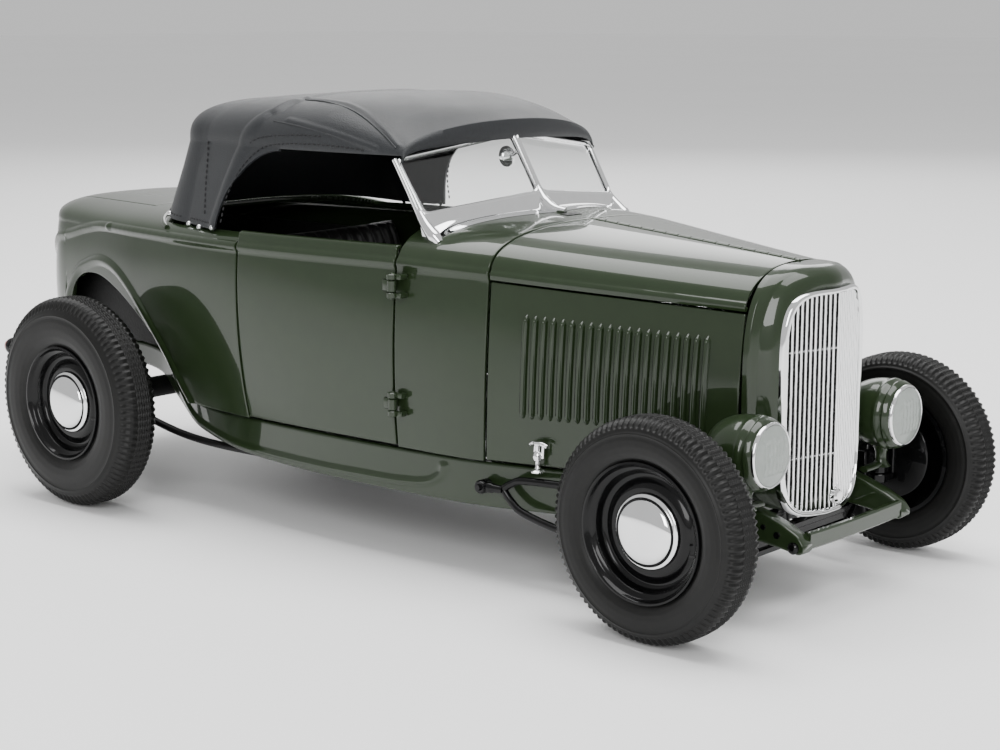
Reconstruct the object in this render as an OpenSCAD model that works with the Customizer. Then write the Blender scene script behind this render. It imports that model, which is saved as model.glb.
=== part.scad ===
// Collector model, 1:18: a highboy hot-rod roadster with a V windshield and a soft top.
// +X is the front of the car, +Y its left side, +Z up; the wheels stand on Z = 0.

/* [Wheels and axles] */
// Distance between the front and rear axles
wheelbase = 149.6; // [148:0.2:152]
// Outer radius of the front tyres
front_tyre_r = 19.36; // [19:0.02:19.6]
// Outer radius of the rear tyres
rear_tyre_r = 22.35; // [22:0.05:22.6]
// Distance from the centre plane to the outer face of a front tyre
front_face_y = 44.8; // [44.6:0.1:46]
// Distance from the centre plane to the outer face of a rear tyre
rear_face_y = 50.1; // [50:0.1:52]
// Radius of the steel wheels, where the tyre beads sit
wheel_r = 12.2; // [12:0.05:12.4]
// Radius of the front stub axles
stub_r = 1.5; // [1.3:0.05:1.6]

/* [Body] */
// Height of the bottom edge of the body sides
sill_z = 22.5; // [22.4:0.1:23]
// Thickness of the body skin
skin = 1.2; // [1:0.1:1.3]
// Height of the crown of the rear deck over the belt line
deck_rise = 5.4; // [5:0.1:6]

/* [Mount] */
// Distance between the two display-base screws
base_screw_pitch = 100; // [96:1:104]
// Radius of the display-base screw holes
base_screw_r = 1.5; // [1.2:0.1:1.6]

/* [Fits] */
// Radial clearance of turning pins and shafts
running_fit = 0.05; // [0.03:0.01:0.08]

/* [Hidden] */
$fn = 64;

// The dimensions below are measured from the rear axle; the origin is amidships.
front_x = wheelbase;
rear_end_x = -47.6;
mid_x = (front_x + front_tyre_r + rear_end_x) / 2;

// Shape of the body: half-widths at the sill, the middle and the belt, from tail to nose
body_x = [-45, -20, 5, 41.6, 83.4, 104, 151, 161];
sill_w = [20.5, 25, 29, 33.6, 33.1, 31.4, 17.8, 14.5];
waist_w = [23, 28.2, 33, 36.3, 33.9, 30.9, 17.4, 14.2];
belt_w = [22, 27.4, 32.4, 36, 32.9, 29.9, 15.4, 12.8];
waist_z = 42;
belt_z = 57;

// Ends of the panels along the car
cowl_x = [80, 103.8];
door_x = [42, 83];
hood_x = [104.2, 150.6];
deck_front_x = 8;
lid_front_x = -3;
tail_x = -28;
tail_end_x = -43.6;
lid_bottom_z = 40;
tail_power = 2.6;
deck_power = 3;

// Hood: straight centre line and bead line
hood_top_z = [64.9, 60.8];
bead_z = [56.2, 53.4];

// Wheel arch in the rear quarters
arch_peak = [-12, 47.1];
arch_front = 31;
arch_rear = 16;

// Steering: the king pins, the steering arms and the column
kingpin_y = 31.5;
kingpin_r = 0.9;
arm_back = 9.6;
tie_z = 12.5;
tie_pin_r = 0.5;
wheel_centre = [67, 13, 54.5];
column_foot = [101.4, 13, 35.4];

// Hinges of the doors, and the rod that both halves of the hood turn on
hinge_at = [84.3, 35.3];
hinge_z = [31.2, 53.7];
hinge_pin_r = 0.45;
hinge_rod_r = 0.6;

hood_green = [0.24, 0.28, 0.2];
chassis_black = [0.08, 0.08, 0.08];
chrome_grey = [0.8, 0.8, 0.82];
rubber_grey = [0.15, 0.15, 0.16];

// ---------- curves ----------

// Index of the span of xs that holds x
function span_of(xs, x, i = 0) = i >= len(xs) - 2 || x < xs[i + 1] ? i : span_of(xs, x, i + 1);

// Slope of a curve through the points at station i
function slope_at(xs, ys, i) =
    let(a = max(i - 1, 0), b = min(i + 1, len(xs) - 1)) (ys[b] - ys[a]) / (xs[b] - xs[a]);

// Smooth curve through the points (xs, ys)
function curve(xs, ys, x) =
    let(
        i = span_of(xs, x),
        h = xs[i + 1] - xs[i],
        t = (x - xs[i]) / h,
        m0 = slope_at(xs, ys, i) * h,
        m1 = slope_at(xs, ys, i + 1) * h
    )
    (2 * t ^ 3 - 3 * t ^ 2 + 1) * ys[i] + (t ^ 3 - 2 * t ^ 2 + t) * m0
    + (3 * t ^ 2 - 2 * t ^ 3) * ys[i + 1] + (t ^ 3 - t ^ 2) * m1;

function mix(a, b, t) = a + (b - a) * t;

// count + 1 values from a to b
function steps(a, b, count) = [for (i = [0:count]) mix(a, b, i / count)];

function signed_power(v, p) = sign(v) * abs(v) ^ p;

// Half-width of the body side at height z: a parabola through sill, waist and belt
function side_y(x, z) =
    let(a = curve(body_x, sill_w, x), b = curve(body_x, waist_w, x), c = curve(body_x, belt_w, x))
    a * (z - waist_z) * (z - belt_z) / ((sill_z - waist_z) * (sill_z - belt_z))
    + b * (z - sill_z) * (z - belt_z) / ((waist_z - sill_z) * (waist_z - belt_z))
    + c * (z - sill_z) * (z - waist_z) / ((belt_z - sill_z) * (belt_z - waist_z));

function along_hood(x) = (x - hood_x[0]) / (hood_x[1] - hood_x[0]);
function hood_bead_z(x) = mix(bead_z[0], bead_z[1], max(0, along_hood(x)));
function hood_crown_z(x) =
    x > hood_x[0] ? mix(hood_top_z[0], hood_top_z[1], along_hood(x))
    : hood_top_z[0] + 1.3 * sin(90 * (hood_x[0] - x) / (hood_x[0] - cowl_x[0]));
function hood_power(x) = mix(2.7, 2.1, max(0, along_hood(x)));

// A point of the cowl and hood crown: share runs from -1 on the right bead to 1 on the left
function crown_point(x, share, inset) =
    let(p = hood_power(x), base = hood_bead_z(x))
    [x, share * (side_y(x, base) - inset),
     base + (hood_crown_z(x) - base - inset) * max(0, 1 - abs(share) ^ p) ^ (1 / p)];

// Height of the cowl surface over a point of the plan
function cowl_z(x, y) = crown_point(x, y / side_y(x, hood_bead_z(x)), 0)[2];

// Lower edge of the rear quarters: the sill, raised to the wheel arch
function quarter_low_z(x) =
    let(
        d = x - arch_peak[0],
        share = min(1, d > 0 ? d / arch_front : -d / arch_rear),
        p = d > 0 ? 1.6 : 2.8
    )
    sill_z + (arch_peak[1] - sill_z) * max(0, 1 - share ^ p) ^ (1 / p);

// Where a dome with a round tail is at an angle round it; 0 is the right side, 180 the left
function tail_share(angle) = -signed_power(cos(angle), 2 / tail_power);
function tail_reach(angle) = sin(angle) ^ (2 / tail_power);

// Length of the body's tail behind tail_x at height z
function tail_length(z) =
    tail_x - tail_end_x + 1.4 * (belt_z - z) / (belt_z - sill_z) - 1.2 * ((z - 35) / 22) ^ 2;

function tail_wall_point(angle, z, inset) =
    let(x = tail_x - (tail_length(z) - inset) * tail_reach(angle))
    [x, tail_share(angle) * (side_y(x, z) - inset), z];

// A point of a dome's top behind its straight part; lift 90 is the rim, 0 is where it joins
function dome_height(reach, share, rise) =
    rise * max(0, 1 - (reach ^ tail_power + abs(share) ^ tail_power) ^ (deck_power / tail_power))
    ^ (1 / deck_power);

function tail_top_point(angle, lift, inset) =
    let(
        reach = tail_reach(angle) * sin(lift) ^ (2 / deck_power),
        share = tail_share(angle),
        x = tail_x - (tail_length(belt_z) - inset) * reach
    )
    [x, share * (side_y(x, belt_z) - inset),
     belt_z + dome_height(reach, share, deck_rise - inset)];

function deck_point(x, angle, inset) =
    let(share = tail_share(angle))
    [x, share * (side_y(x, belt_z) - inset), belt_z + dome_height(0, share, deck_rise - inset)];

// ---------- solids from grids of points ----------

// Closed sheet between two grids of points; each gap leaves out cells: [row, row], [column, column]
module sheet(outside, inside, gaps = []) {
    ni = len(outside);
    nj = len(outside[0]);
    function left_out(i, j) = len([
        for (g = gaps) if (i >= g[0][0] && i < g[0][1] && j >= g[1][0] && j < g[1][1]) g
    ]) > 0;
    function kept(i, j) = i >= 0 && j >= 0 && i < ni - 1 && j < nj - 1 && !left_out(i, j);
    function o(i, j) = i * nj + j;
    function n(i, j) = ni * nj + i * nj + j;
    function quad(a, b, c, d) = [[a, b, c], [a, c, d]];
    cells = [for (i = [0:ni - 2], j = [0:nj - 2]) if (kept(i, j)) [i, j]];
    faces = [
        for (c = cells)
            let(i = c[0], j = c[1])
            each concat(
                quad(o(i, j), o(i, j + 1), o(i + 1, j + 1), o(i + 1, j)),
                quad(n(i, j), n(i + 1, j), n(i + 1, j + 1), n(i, j + 1)),
                kept(i, j - 1) ? [] : quad(o(i, j), o(i + 1, j), n(i + 1, j), n(i, j)),
                kept(i, j + 1) ? []
                    : quad(o(i + 1, j + 1), o(i, j + 1), n(i, j + 1), n(i + 1, j + 1)),
                kept(i - 1, j) ? [] : quad(o(i, j + 1), o(i, j), n(i, j), n(i, j + 1)),
                kept(i + 1, j) ? []
                    : quad(o(i + 1, j), o(i + 1, j + 1), n(i + 1, j + 1), n(i + 1, j))
            )
    ];
    polyhedron([for (g = [outside, inside], row = g, p = row) p], faces, convexity = 8);
}

// Solid through rings of points; the rings are anticlockwise seen from the last one's side
module loft(rings) {
    n = len(rings[0]);
    last = len(rings) - 1;
    sides = [
        for (i = [0:last - 1], j = [0:n - 1])
            let(a = i * n + j, b = i * n + (j + 1) % n)
            each [[a, a + n, b + n], [a, b + n, b]]
    ];
    polyhedron(
        [for (ring = rings, p = ring) p],
        concat(sides, [[for (j = [0:n - 1]) j]], [[for (j = [n - 1:-1:0]) last * n + j]]),
        convexity = 6
    );
}

function unit(v) = v / norm(v);

// Bent round rod through the points; no stretch of it may run along the reference axis
module rod(points, r, reference = [0, 1, 0], sides = 12) {
    last = len(points) - 1;
    loft([
        for (i = [0:last])
            let(
                t = unit(
                    (i > 0 ? unit(points[i] - points[i - 1]) : [0, 0, 0])
                    + (i < last ? unit(points[i + 1] - points[i]) : [0, 0, 0])
                ),
                u = unit(cross(t, reference)),
                v = cross(t, u)
            )
            [for (k = [0:sides - 1])
                points[i] + r * (cos(360 * k / sides) * u + sin(360 * k / sides) * v)]
    ]);
}

// Places a shape that is given from the rear axle
module car() translate([-mid_x, 0, 0]) children();

module both_sides() {
    children();
    mirror([0, 1, 0]) children();
}

// Outline of points round a stretched superellipse
function rounded_outline(half_w, half_h, power, count) = [
    for (i = [0:count - 1])
        let(a = 360 * (i + 0.5) / count)
        [half_w * signed_power(cos(a), 2 / power), half_h * signed_power(sin(a), 2 / power)]
];

// ---------- frame ----------

// Outer face, bottom and top of a rail along the car
rail_x = [-45, -34, -26, -15, 0, 9, 20, 45, 94, 120, 140, 152, 160, 165];
rail_y = [19.5, 19.8, 20.3, 21, 22.5, 25, 28.2, 32.3, 31.3, 25.7, 20.4, 18.4, 18, 18];
rail_low = [17, 19.2, 23.4, 26, 25.4, 20.8, 16.2, 14, 13.4, 13.6, 14.1, 14, 13.2, 12.3];
rail_high = [20.5, 22.1, 28.2, 30.8, 30.4, 27, 22, 22, 22, 22, 21.8, 20, 17.6, 15.2];
rail_w = 3;

module frame_rail() {
    xs = concat(steps(-45, 151, 26), [155, 160, 165]);
    difference() {
        loft([
            for (x = xs)
                let(
                    y = -curve(rail_x, rail_y, x),
                    low = curve(rail_x, rail_low, x),
                    high = curve(rail_x, rail_high, x)
                )
                [[x, y, low], [x, y + rail_w, low], [x, y + rail_w, high], [x, y, high]]
        ]);
        translate([162.8, -24, 13.9]) rotate([-90, 0, 0]) cylinder(h = 10, r = 0.8);
    }
}

module frame_rail_right() color(hood_green) car() frame_rail();

module frame_rail_left() color(hood_green) car() mirror([0, 1, 0]) frame_rail();

// Crossmember that carries the front spring and the front display-base screw
module crossmember_front() color(hood_green) car()
    difference() {
        union() {
            translate([146.6, -15, 16.6]) cube([4.2, 30, 2.6]);
            translate([104, -4, 14]) cube([14, 8, 3.4]);
            translate([117, -2.5, 15.4]) cube([30.4, 5, 2]);
        }
        translate([mid_x + base_screw_pitch / 2, 0, 13]) cylinder(h = 5, r = base_screw_r);
    }

// X-shaped member amidships, with the rear display-base screw hole
module crossmember_middle() color(chassis_black) car()
    difference() {
        union() {
            translate([4, -5, 14]) cube([14, 10, 3.4]);
            both_sides() loft([
                for (s = [0, 1])
                    let(x = mix(14, 44, s), y = mix(-2.5, -27, s))
                    [[x, y - 2, 14.6], [x, y + 2, 14.6], [x, y + 2, 17], [x, y - 2, 17]]
            ]);
            translate([14, -2.5, 14.6]) cube([84, 5, 2.4]);
            translate([90, -27.8, 14.6]) cube([6, 55.6, 2.4]);
        }
        translate([mid_x - base_screw_pitch / 2, 0, 13]) cylinder(h = 5, r = base_screw_r);
    }

// Flat bar between the front horns of the frame
module front_spreader_bar() color(hood_green) car() {
    translate([163.2, -14.9, 13.2]) cube([1.2, 29.8, 3]);
    both_sides() translate([162.8, -14.9, 13.9]) rotate([90, 0, 0]) cylinder(h = 3.1, r = 0.75);
}

// Round bar between the rear ends of the frame
module rear_spreader_bar() color(hood_green) car()
    translate([-43.6, -16.4, 19]) rotate([-90, 0, 0]) cylinder(h = 32.8, r = 1.1);

// ---------- body ----------

// Part of the right body side between two stations and two heights
module side_panel(x0, x1, z0, z1, rows, columns, thickness) {
    grid = function(inset) [
        for (x = steps(x0, x1, rows))
            [for (z = steps(z0, z1, columns)) [x, -side_y(x, z) + inset, z]]
    ];
    sheet(grid(0), grid(thickness));
}

// Cowl: two sides and the crown in front of the doors, with the hinge knuckles
module cowl() color(hood_green) car() {
    side = function(inset) [
        for (x = steps(door_x[1] + 0.4, cowl_x[1], 5))
            [for (z = steps(sill_z, hood_bead_z(x), 6)) [x, -side_y(x, z) + inset, z]]
    ];
    top = function(inset) [
        for (x = steps(door_x[1] + 0.4, cowl_x[1], 5))
            [for (a = steps(-90, 90, 20)) crown_point(x, sin(a), inset)]
    ];
    both_sides() sheet(side(0), side(skin));
    sheet(top(0), top(skin));
}

// Bulkhead between the engine and the cockpit
module firewall() color(hood_green) car()
    translate([101.6, 0, 0]) rotate([90, 0, 90]) linear_extrude(1)
        polygon(concat(
            [[-27, sill_z + 0.5], [27, sill_z + 0.5], [28, 40]],
            [for (a = steps(86, -86, 18))
                let(p = crown_point(101.6, sin(a), skin + 0.4)) [p[1], p[2]]],
            [[-28, 40]]
        ));

quarter_rows = concat(
    steps(tail_x, -22, 4), [-19, -16, -12, -6, 0, 5, 9, 12, 15, 17.5, 19, 24, 30, 36, 41.6]
);
column_angles = steps(0, 180, 26);
deck_rows = [tail_x, -20, -12, lid_front_x, 2, deck_front_x, 15, 24, 33, door_x[0] - 0.4];

module rear_body() color(hood_green) car() {
    quarter = function(inset) [
        for (x = quarter_rows)
            [for (s = steps(0, 1, 7))
                let(z = mix(quarter_low_z(x), belt_z, s))
                [x, -side_y(x, z) + inset, z]]
    ];
    tail = function(inset) concat(
        [for (z = [sill_z, 31, lid_bottom_z, 46, 52]) [
            for (a = column_angles) tail_wall_point(a, z, inset)]],
        [for (lift = [90, 70, 50, 30]) [for (a = column_angles) tail_top_point(a, lift, inset)]],
        [for (x = deck_rows) [for (a = column_angles) deck_point(x, a, inset)]]
    );
    both_sides() sheet(quarter(0), quarter(skin));
    sheet(tail(0), tail(skin), [[[2, 12], [8, 18]], [[14, 18], [4, 22]]]);
}

module decklid() color(hood_green) car() {
    angles = steps(column_angles[8] + 1, column_angles[18] - 1, 10);
    grid = function(inset) concat(
        [for (z = [lid_bottom_z + 0.3, 46, 52]) [for (a = angles) tail_wall_point(a, z, inset)]],
        [for (lift = [90, 70, 50, 30]) [for (a = angles) tail_top_point(a, lift, inset)]],
        [for (x = [-28, -20, -12, lid_front_x - 0.3]) [for (a = angles) deck_point(x, a, inset)]]
    );
    sheet(grid(0), grid(skin));
    translate([tail_end_x + 0.9, 0, 46]) rotate([0, -90, 0]) cylinder(h = 3, r = 1);
}

// Inner pressing: cockpit floor, seat riser, trunk floor and the walls behind the arches
module interior_tub() color(chassis_black) car() {
    floor_x = steps(20, 101, 9);
    translate([0, 0, 22.3]) linear_extrude(0.9)
        polygon(concat(
            [for (x = floor_x) [x, -side_y(x, sill_z) + 1.9]],
            [for (i = [9:-1:0]) [floor_x[i], side_y(floor_x[i], sill_z) - 1.9]]
        ));
    translate([19.2, -25, 22.3]) cube([1, 50, 10]);
    translate([-32, -20.5, 31.4]) cube([52.2, 41, 0.9]);
    translate([19.2, -25, 31.4]) cube([1, 50, 22]);
    both_sides() translate([-32, -21.3, 31.4]) cube([52.2, 0.9, 24]);
    translate([60, -3, 23]) cube([40, 6, 4]);
}

// ---------- hood ----------

hood_inner_y = 0.75;

module hood_top() {
    grid = function(inset) [
        for (x = steps(hood_x[0], hood_x[1], 8))
            let(inner = 90 - asin(hood_inner_y / side_y(x, hood_bead_z(x))))
            [for (a = steps(-90, inner - 90, 9)) crown_point(x, sin(a), inset)]
    ];
    sheet(grid(0), grid(1));
}

module hood_top_right() color(hood_green) car() hood_top();

module hood_top_left() color(hood_green) car() mirror([0, 1, 0]) hood_top();

// Louvred side of the hood; the slots stand behind the louvres
louvre_x = [111.6, 144.6];
louvre_count = 20;

module hood_side() {
    grid = function(inset) [
        for (x = steps(hood_x[0], hood_x[1], 8))
            [for (s = steps(0, 1, 7))
                let(z = mix(sill_z + 0.3, hood_bead_z(x) - 0.35, s))
                [x, -side_y(x, z) + inset, z]]
    ];
    difference() {
        sheet(grid(0), grid(1));
        for (x = steps(louvre_x[0], louvre_x[1], louvre_count - 1))
            translate([x - 0.25, -side_y(x, 40) - 1, 31.5]) cube([0.5, 4, 18]);
    }
}

module hood_side_right() color(hood_green) car() hood_side();

module hood_side_left() color(hood_green) car() mirror([0, 1, 0]) hood_side();

module hood_hinge_rod() color(hood_green) car() {
    a = [cowl_x[1], 0, hood_top_z[0] - 0.3];
    b = [150.95, 0, hood_top_z[1] - 0.35];
    translate(a) rotate([0, acos((b - a)[2] / norm(b - a)), 0]) cylinder(h = norm(b - a), r = hinge_rod_r);
}

// Spring latches between the hood sides and the frame rails
module hood_latches() color(chrome_grey) car()
    both_sides() translate([115.8, -30.2, 22.1]) {
        cylinder(h = 0.5, r = 1.3);
        cylinder(h = 5.2, r = 0.45);
        translate([0, 0, 5]) cylinder(h = 0.6, r = 1.1);
        translate([0, 0, 2]) cylinder(h = 2, r = 0.9);
    }

// ---------- nose ----------

shell_z = 38.6;
grille_z = 36.4;

// Ring of the radiator shell: place along the car, half-width, half-height, centre height
function shell_ring(x, half_w, half_h, z) = [
    for (p = rounded_outline(half_w, half_h, 3.3, 44)) [x, p[0], z + p[1]]
];

module grille_shell() color(hood_green) car()
    difference() {
        loft([
            shell_ring(151, 17.4, 22, shell_z),
            shell_ring(156, 16, 21.9, shell_z - 0.1),
            shell_ring(158, 14.9, 21.6, shell_z - 0.2),
            shell_ring(159.2, 13.4, 20.6, shell_z - 0.5)
        ]);
        loft([
            shell_ring(150, 16.2, 20.8, shell_z),
            shell_ring(156.5, 14.6, 20.7, shell_z - 0.1),
            shell_ring(156.6, 12.2, 19.9, grille_z),
            shell_ring(161, 12.2, 19.9, grille_z)
        ]);
    }

// Chrome surround with the upright bars, bent to a shallow V in plan
module grille_insert() color(chrome_grey) car() {
    difference() {
        loft([shell_ring(156.9, 12.1, 19.8, grille_z), shell_ring(159.9, 12.1, 19.8, grille_z)]);
        loft([shell_ring(156, 11.1, 18.8, grille_z), shell_ring(161, 11.1, 18.8, grille_z)]);
    }
    intersection() {
        loft([shell_ring(156, 11.5, 19.2, grille_z), shell_ring(161, 11.5, 19.2, grille_z)]);
        union() {
            for (i = [-10:10])
                translate([159.3 - 0.2 * abs(i), i * 1.06 - 0.25, grille_z - 20]) cube([0.8, 0.5, 40]);
            for (z = [-9, 0, 9])
                both_sides() loft([
                    for (s = [0, 1])
                        let(x = mix(159.1, 156.9, s), y = mix(0.1, -11.6, s))
                        [[x, y, grille_z + z - 0.2], [x + 0.4, y, grille_z + z - 0.2],
                         [x + 0.4, y, grille_z + z + 0.2], [x, y, grille_z + z + 0.2]]
                ]);
        }
    }
}

module radiator() color(chassis_black) car() {
    translate([151.5, -10.2, 21]) cube([4, 20.4, 34]);
    translate([151.5, -3, 55]) cube([3, 6, 1.4]);
}

// Bullet-shaped headlight: outline of the bucket, turned about the lens axis
lamp_at = [160.9, 22.3, 30.5];

module headlight_bucket() translate([lamp_at[0], -lamp_at[1], lamp_at[2]]) {
    rotate([0, -90, 0]) rotate_extrude()
        polygon(concat(
            [[0, 1.2], [5.9, 1.2], [6.1, 0], [6.6, -0.1], [6.95, 0.4], [6.95, 1.4]],
            [for (a = steps(0, 90, 10)) [6.7 * cos(a), 2 + 10.6 * sin(a)]]
        ));
    translate([-5, 0, -6.2]) rotate([180, 0, 0]) cylinder(h = 2.8, r = 1.1);
    translate([-6.2, 0, -9.9]) cube([2.4, 5.4, 1.2]);
}

module headlight_bucket_right() color(hood_green) car() headlight_bucket();

module headlight_bucket_left() color(hood_green) car() mirror([0, 1, 0]) headlight_bucket();

module headlight_lens() translate([lamp_at[0], -lamp_at[1], lamp_at[2]])
    rotate([0, -90, 0]) rotate_extrude()
        polygon(concat(
            [[0, 1.2]],
            [[5.8, 1.2]],
            [for (a = steps(0, 90, 8)) [5.8 * cos(a), 0.6 - 1.2 * sin(a)]]
        ));

module headlight_lens_right() color("white") car() headlight_lens();

module headlight_lens_left() color("white") car() mirror([0, 1, 0]) headlight_lens();

module tail_lights() color("darkred") car()
    both_sides() {
        translate([rear_end_x + 2.4, -29.5, 27]) {
            rotate([0, -90, 0]) cylinder(h = 2.4, r = 2);
            rotate([0, 90, 0]) cylinder(h = 4, r1 = 2, r2 = 0.8);
        }
        translate([rear_end_x + 3, -29.5, 26.2]) rotate([0, 90, 0]) cylinder(h = 2.2, r = 0.6);
        translate([rear_end_x + 4.6, -29.5, 26.6]) rotate([-90, 0, 0]) cylinder(h = 9.7, r = 0.6);
    }

// ---------- windshield ----------

// Corners of the right pane: top centre, bottom centre, bottom outside, top outside
pane = [[83.4, -0.9, 79.9], [90.3, -0.9, 69.2], [85.6, -27.3, 66.7], [79.4, -28, 76.1]];
frame_r = 0.55;

// A point on the frame's centre line over the right pane, or mirrored over the left one
function frame_points(side) = [
    for (p = [
        mix(pane[0], pane[3], 0.5) + [0.2, 0, 0.45], pane[3] + [0, -0.6, 0.3],
        pane[2] + [0, -0.9, -0.4],
    ]) [p[0], side * p[1], p[2]]
];

module windshield_frame() color(chrome_grey) car() {
    right = frame_points(1);
    left = frame_points(-1);
    rod([right[2], right[1], right[0], pane[0] + [0, 0.9, 0.3], left[0], left[1], left[2]],
        frame_r, [1, 0, 0]);
    rod([pane[0] + [0.1, 0.9, 0.2], pane[1] + [0.1, 0.9, -1]], frame_r * 0.9);
    loft([
        for (s = steps(-1, 1, 14))
            let(
                y = -28.4 * s,
                glass_x = mix(90.3, 85.5, abs(s)),
                glass_z = mix(69, 66.6, abs(s)),
                foot_x = mix(95.6, 90.4, abs(s))
            )
            [[foot_x, y, cowl_z(foot_x, y) + 0.05], [glass_x + 0.6, y, glass_z],
             [glass_x - 0.6, y, glass_z], [foot_x - 4, y, cowl_z(foot_x - 4, y) + 0.05]]
    ]);
}

module windshield_glass() color([0.8, 0.9, 0.9, 0.4]) car()
    both_sides() {
        middle = (pane[0] + pane[1] + pane[2] + pane[3]) / 4;
        corners = [for (p = pane) middle + 0.955 * (p - middle)];
        loft([[for (p = corners) p + [0.2, 0, 0.15]], [for (p = corners) p - [0.2, 0, 0.15]]]);
    }

module rear_view_mirror() color(chrome_grey) car() translate([81.6, 0, 75.6]) {
    rotate([0, 90, 0]) cylinder(h = 0.9, r = 2);
    translate([0.8, 0, 0]) rotate([0, 60, 0]) cylinder(h = 2.4, r = 0.4);
}

// ---------- cockpit ----------

module dashboard() color(chassis_black) car()
    translate([81.5, 0, 0]) rotate([90, 0, 90]) linear_extrude(1.8)
        polygon(concat(
            [[-29.6, 50], [29.6, 50]],
            [for (a = steps(86, -86, 16))
                let(p = crown_point(83.3, sin(a), skin + 0.6)) [p[1] * 0.99, p[2]]]
        ));

module seat_cushion() color([0.2, 0.2, 0.2]) car()
    translate([38, 26.5, 24]) rotate([90, 0, 0]) linear_extrude(53)
        polygon([[0, 0], [19, 0], [21.5, 1.5], [22.5, 6], [21.5, 10], [18, 11.5], [0, 9.5]]);

module seat_back() color([0.2, 0.2, 0.2]) car()
    translate([27, 28, 24]) rotate([90, 0, 0]) linear_extrude(56)
        polygon([[3, 0], [10, 0], [7.5, 20], [4.5, 33], [2, 34.5], [-1, 34], [-3.5, 28]]);

function column_axis() = (column_foot - wheel_centre) / norm(column_foot - wheel_centre);

// Turns +Z to the direction from the steering wheel down the column
module on_column() {
    d = column_axis();
    translate(wheel_centre) rotate([0, acos(d[2]), atan2(d[1], d[0])]) children();
}

module steering_column() color(chassis_black) car()
    on_column() {
        translate([0, 0, -1.4]) cylinder(h = 4, r = 0.5);
        translate([0, 0, 1.6]) cylinder(h = norm(column_foot - wheel_centre) - 1.6, r = 0.95);
    }

module steering_wheel() color([0.2, 0.2, 0.2]) car() on_column()
    difference() {
        union() {
            rotate_extrude() translate([8.2, 0]) circle(0.7);
            translate([0, 0, -0.8]) cylinder(h = 2.2, r = 1.6);
            for (a = [90, 210, 330])
                rotate([0, 0, a]) translate([1, -0.5, -0.4]) cube([6.9, 1, 0.7]);
        }
        translate([0, 0, -2]) cylinder(h = 4, r = 0.5 + running_fit);
    }

// ---------- engine ----------

module engine_block() color([0.25, 0.25, 0.26]) car() {
    translate([114, -5.6, 24]) cube([27, 11.2, 13]);
    translate([116, -4.2, 18.6]) cube([22, 8.4, 5.6]);
    both_sides() translate([115, -10.6, 31]) cube([25, 5.6, 6.5]);
    translate([104.3, 0, 28]) rotate([0, 90, 0]) cylinder(h = 10, r1 = 4, r2 = 6);
    translate([141, 0, 30]) rotate([0, 90, 0]) cylinder(h = 2.4, r = 3);
    translate([143.4, 0, 34]) rotate([0, 90, 0]) cylinder(h = 1, r = 8);
    translate([141, -1, 30]) cube([2.6, 2, 5]);
}

module cylinder_heads() color([0.7, 0.7, 0.72]) car()
    both_sides() translate([115.2, -11.2, 37.6]) {
        cube([24.6, 8.6, 2.2]);
        for (x = steps(2, 20.6, 4))
            translate([x, 1.2, 2.2]) cube([1.2, 6.2, 1]);
    }

module air_cleaner() color(chrome_grey) car() {
    translate([120, -2.4, 37.1]) cube([14, 4.8, 4.4]);
    for (x = [123, 131])
        translate([x, 0, 41.4]) {
            cylinder(h = 6.4, r = 1.5);
            translate([0, 0, 6.2]) cylinder(h = 4, r = 3.2);
        }
}

module exhaust_pipes() color([0.35, 0.33, 0.3]) car()
    both_sides() {
        for (x = [118, 127, 136]) rod([[x, -11.3, 33.5], [x - 2, -14, 30.4]], 1, [1, 0, 0]);
        rod([
            [136.5, -14, 30.4], [112, -14, 30.4], [109, -14, 28.6], [107.4, -14, 22],
            [104.6, -14, 19.7], [97.5, -14, 19.2], [20, -14, 19.6],
        ], 1.3);
    }

// ---------- soft top ----------

top_tail_x = 22;
top_rim_z = 77.3;
top_skin = 1.1;
opening_x = [33.5, 49];
top_rise_x = [-10, 22, 28, 43, 55, 66, 76, 84];
top_rise = [7.5, 8.6, 9.3, 10.1, 10.8, 10.7, 8.9, 5.9];

function top_rim_y(x) = 30.6 - 0.0018 * (x - 50) ^ 2;

// Half-width of the top at height z, leaning in from the belt to the rim
function top_y(x, z) = mix(side_y(x, belt_z) - 1.3, top_rim_y(x), (z - 60) / (top_rim_z - 60));

// Length of the rear curtain behind top_tail_x
function top_tail_length(z) = mix(18, 12, (z - 60) / (top_rim_z - 60));

// Height of the hem, just clear of the deck
function hem_z(x, y) =
    belt_z + dome_height(0, min(1, abs(y) / side_y(x, belt_z)), deck_rise) + 0.35;

function top_wall_point(angle, up, inset) =
    let(
        x0 = top_tail_x - (top_tail_length(60) - inset) * tail_reach(angle),
        z = mix(hem_z(x0, tail_share(angle) * (top_y(x0, 60) - top_skin)), top_rim_z, up),
        x = top_tail_x - (top_tail_length(z) - inset) * tail_reach(angle)
    )
    [x, tail_share(angle) * (top_y(x, z) - inset), z];

function top_round_point(angle, lift, inset) =
    let(
        reach = tail_reach(angle) * sin(lift) ^ (2 / deck_power),
        share = tail_share(angle),
        x = top_tail_x - (top_tail_length(top_rim_z) - inset) * reach
    )
    [x, share * (top_y(x, top_rim_z) - inset),
     top_rim_z + dome_height(reach, share, curve(top_rise_x, top_rise, top_tail_x) - inset)];

// The front edge is drawn back to the corners over the windshield
function top_roof_point(x, angle, inset) =
    let(
        share = tail_share(angle),
        forward = max(0, (x - 60) / 24),
        p = mix(deck_power, 2.1, forward)
    )
    [x - 3.4 * forward * share ^ 2, share * (top_y(x, top_rim_z) - inset),
     top_rim_z + (curve(top_rise_x, top_rise, x) - inset) * max(0, 1 - abs(share) ^ p) ^ (1 / p)];

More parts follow.
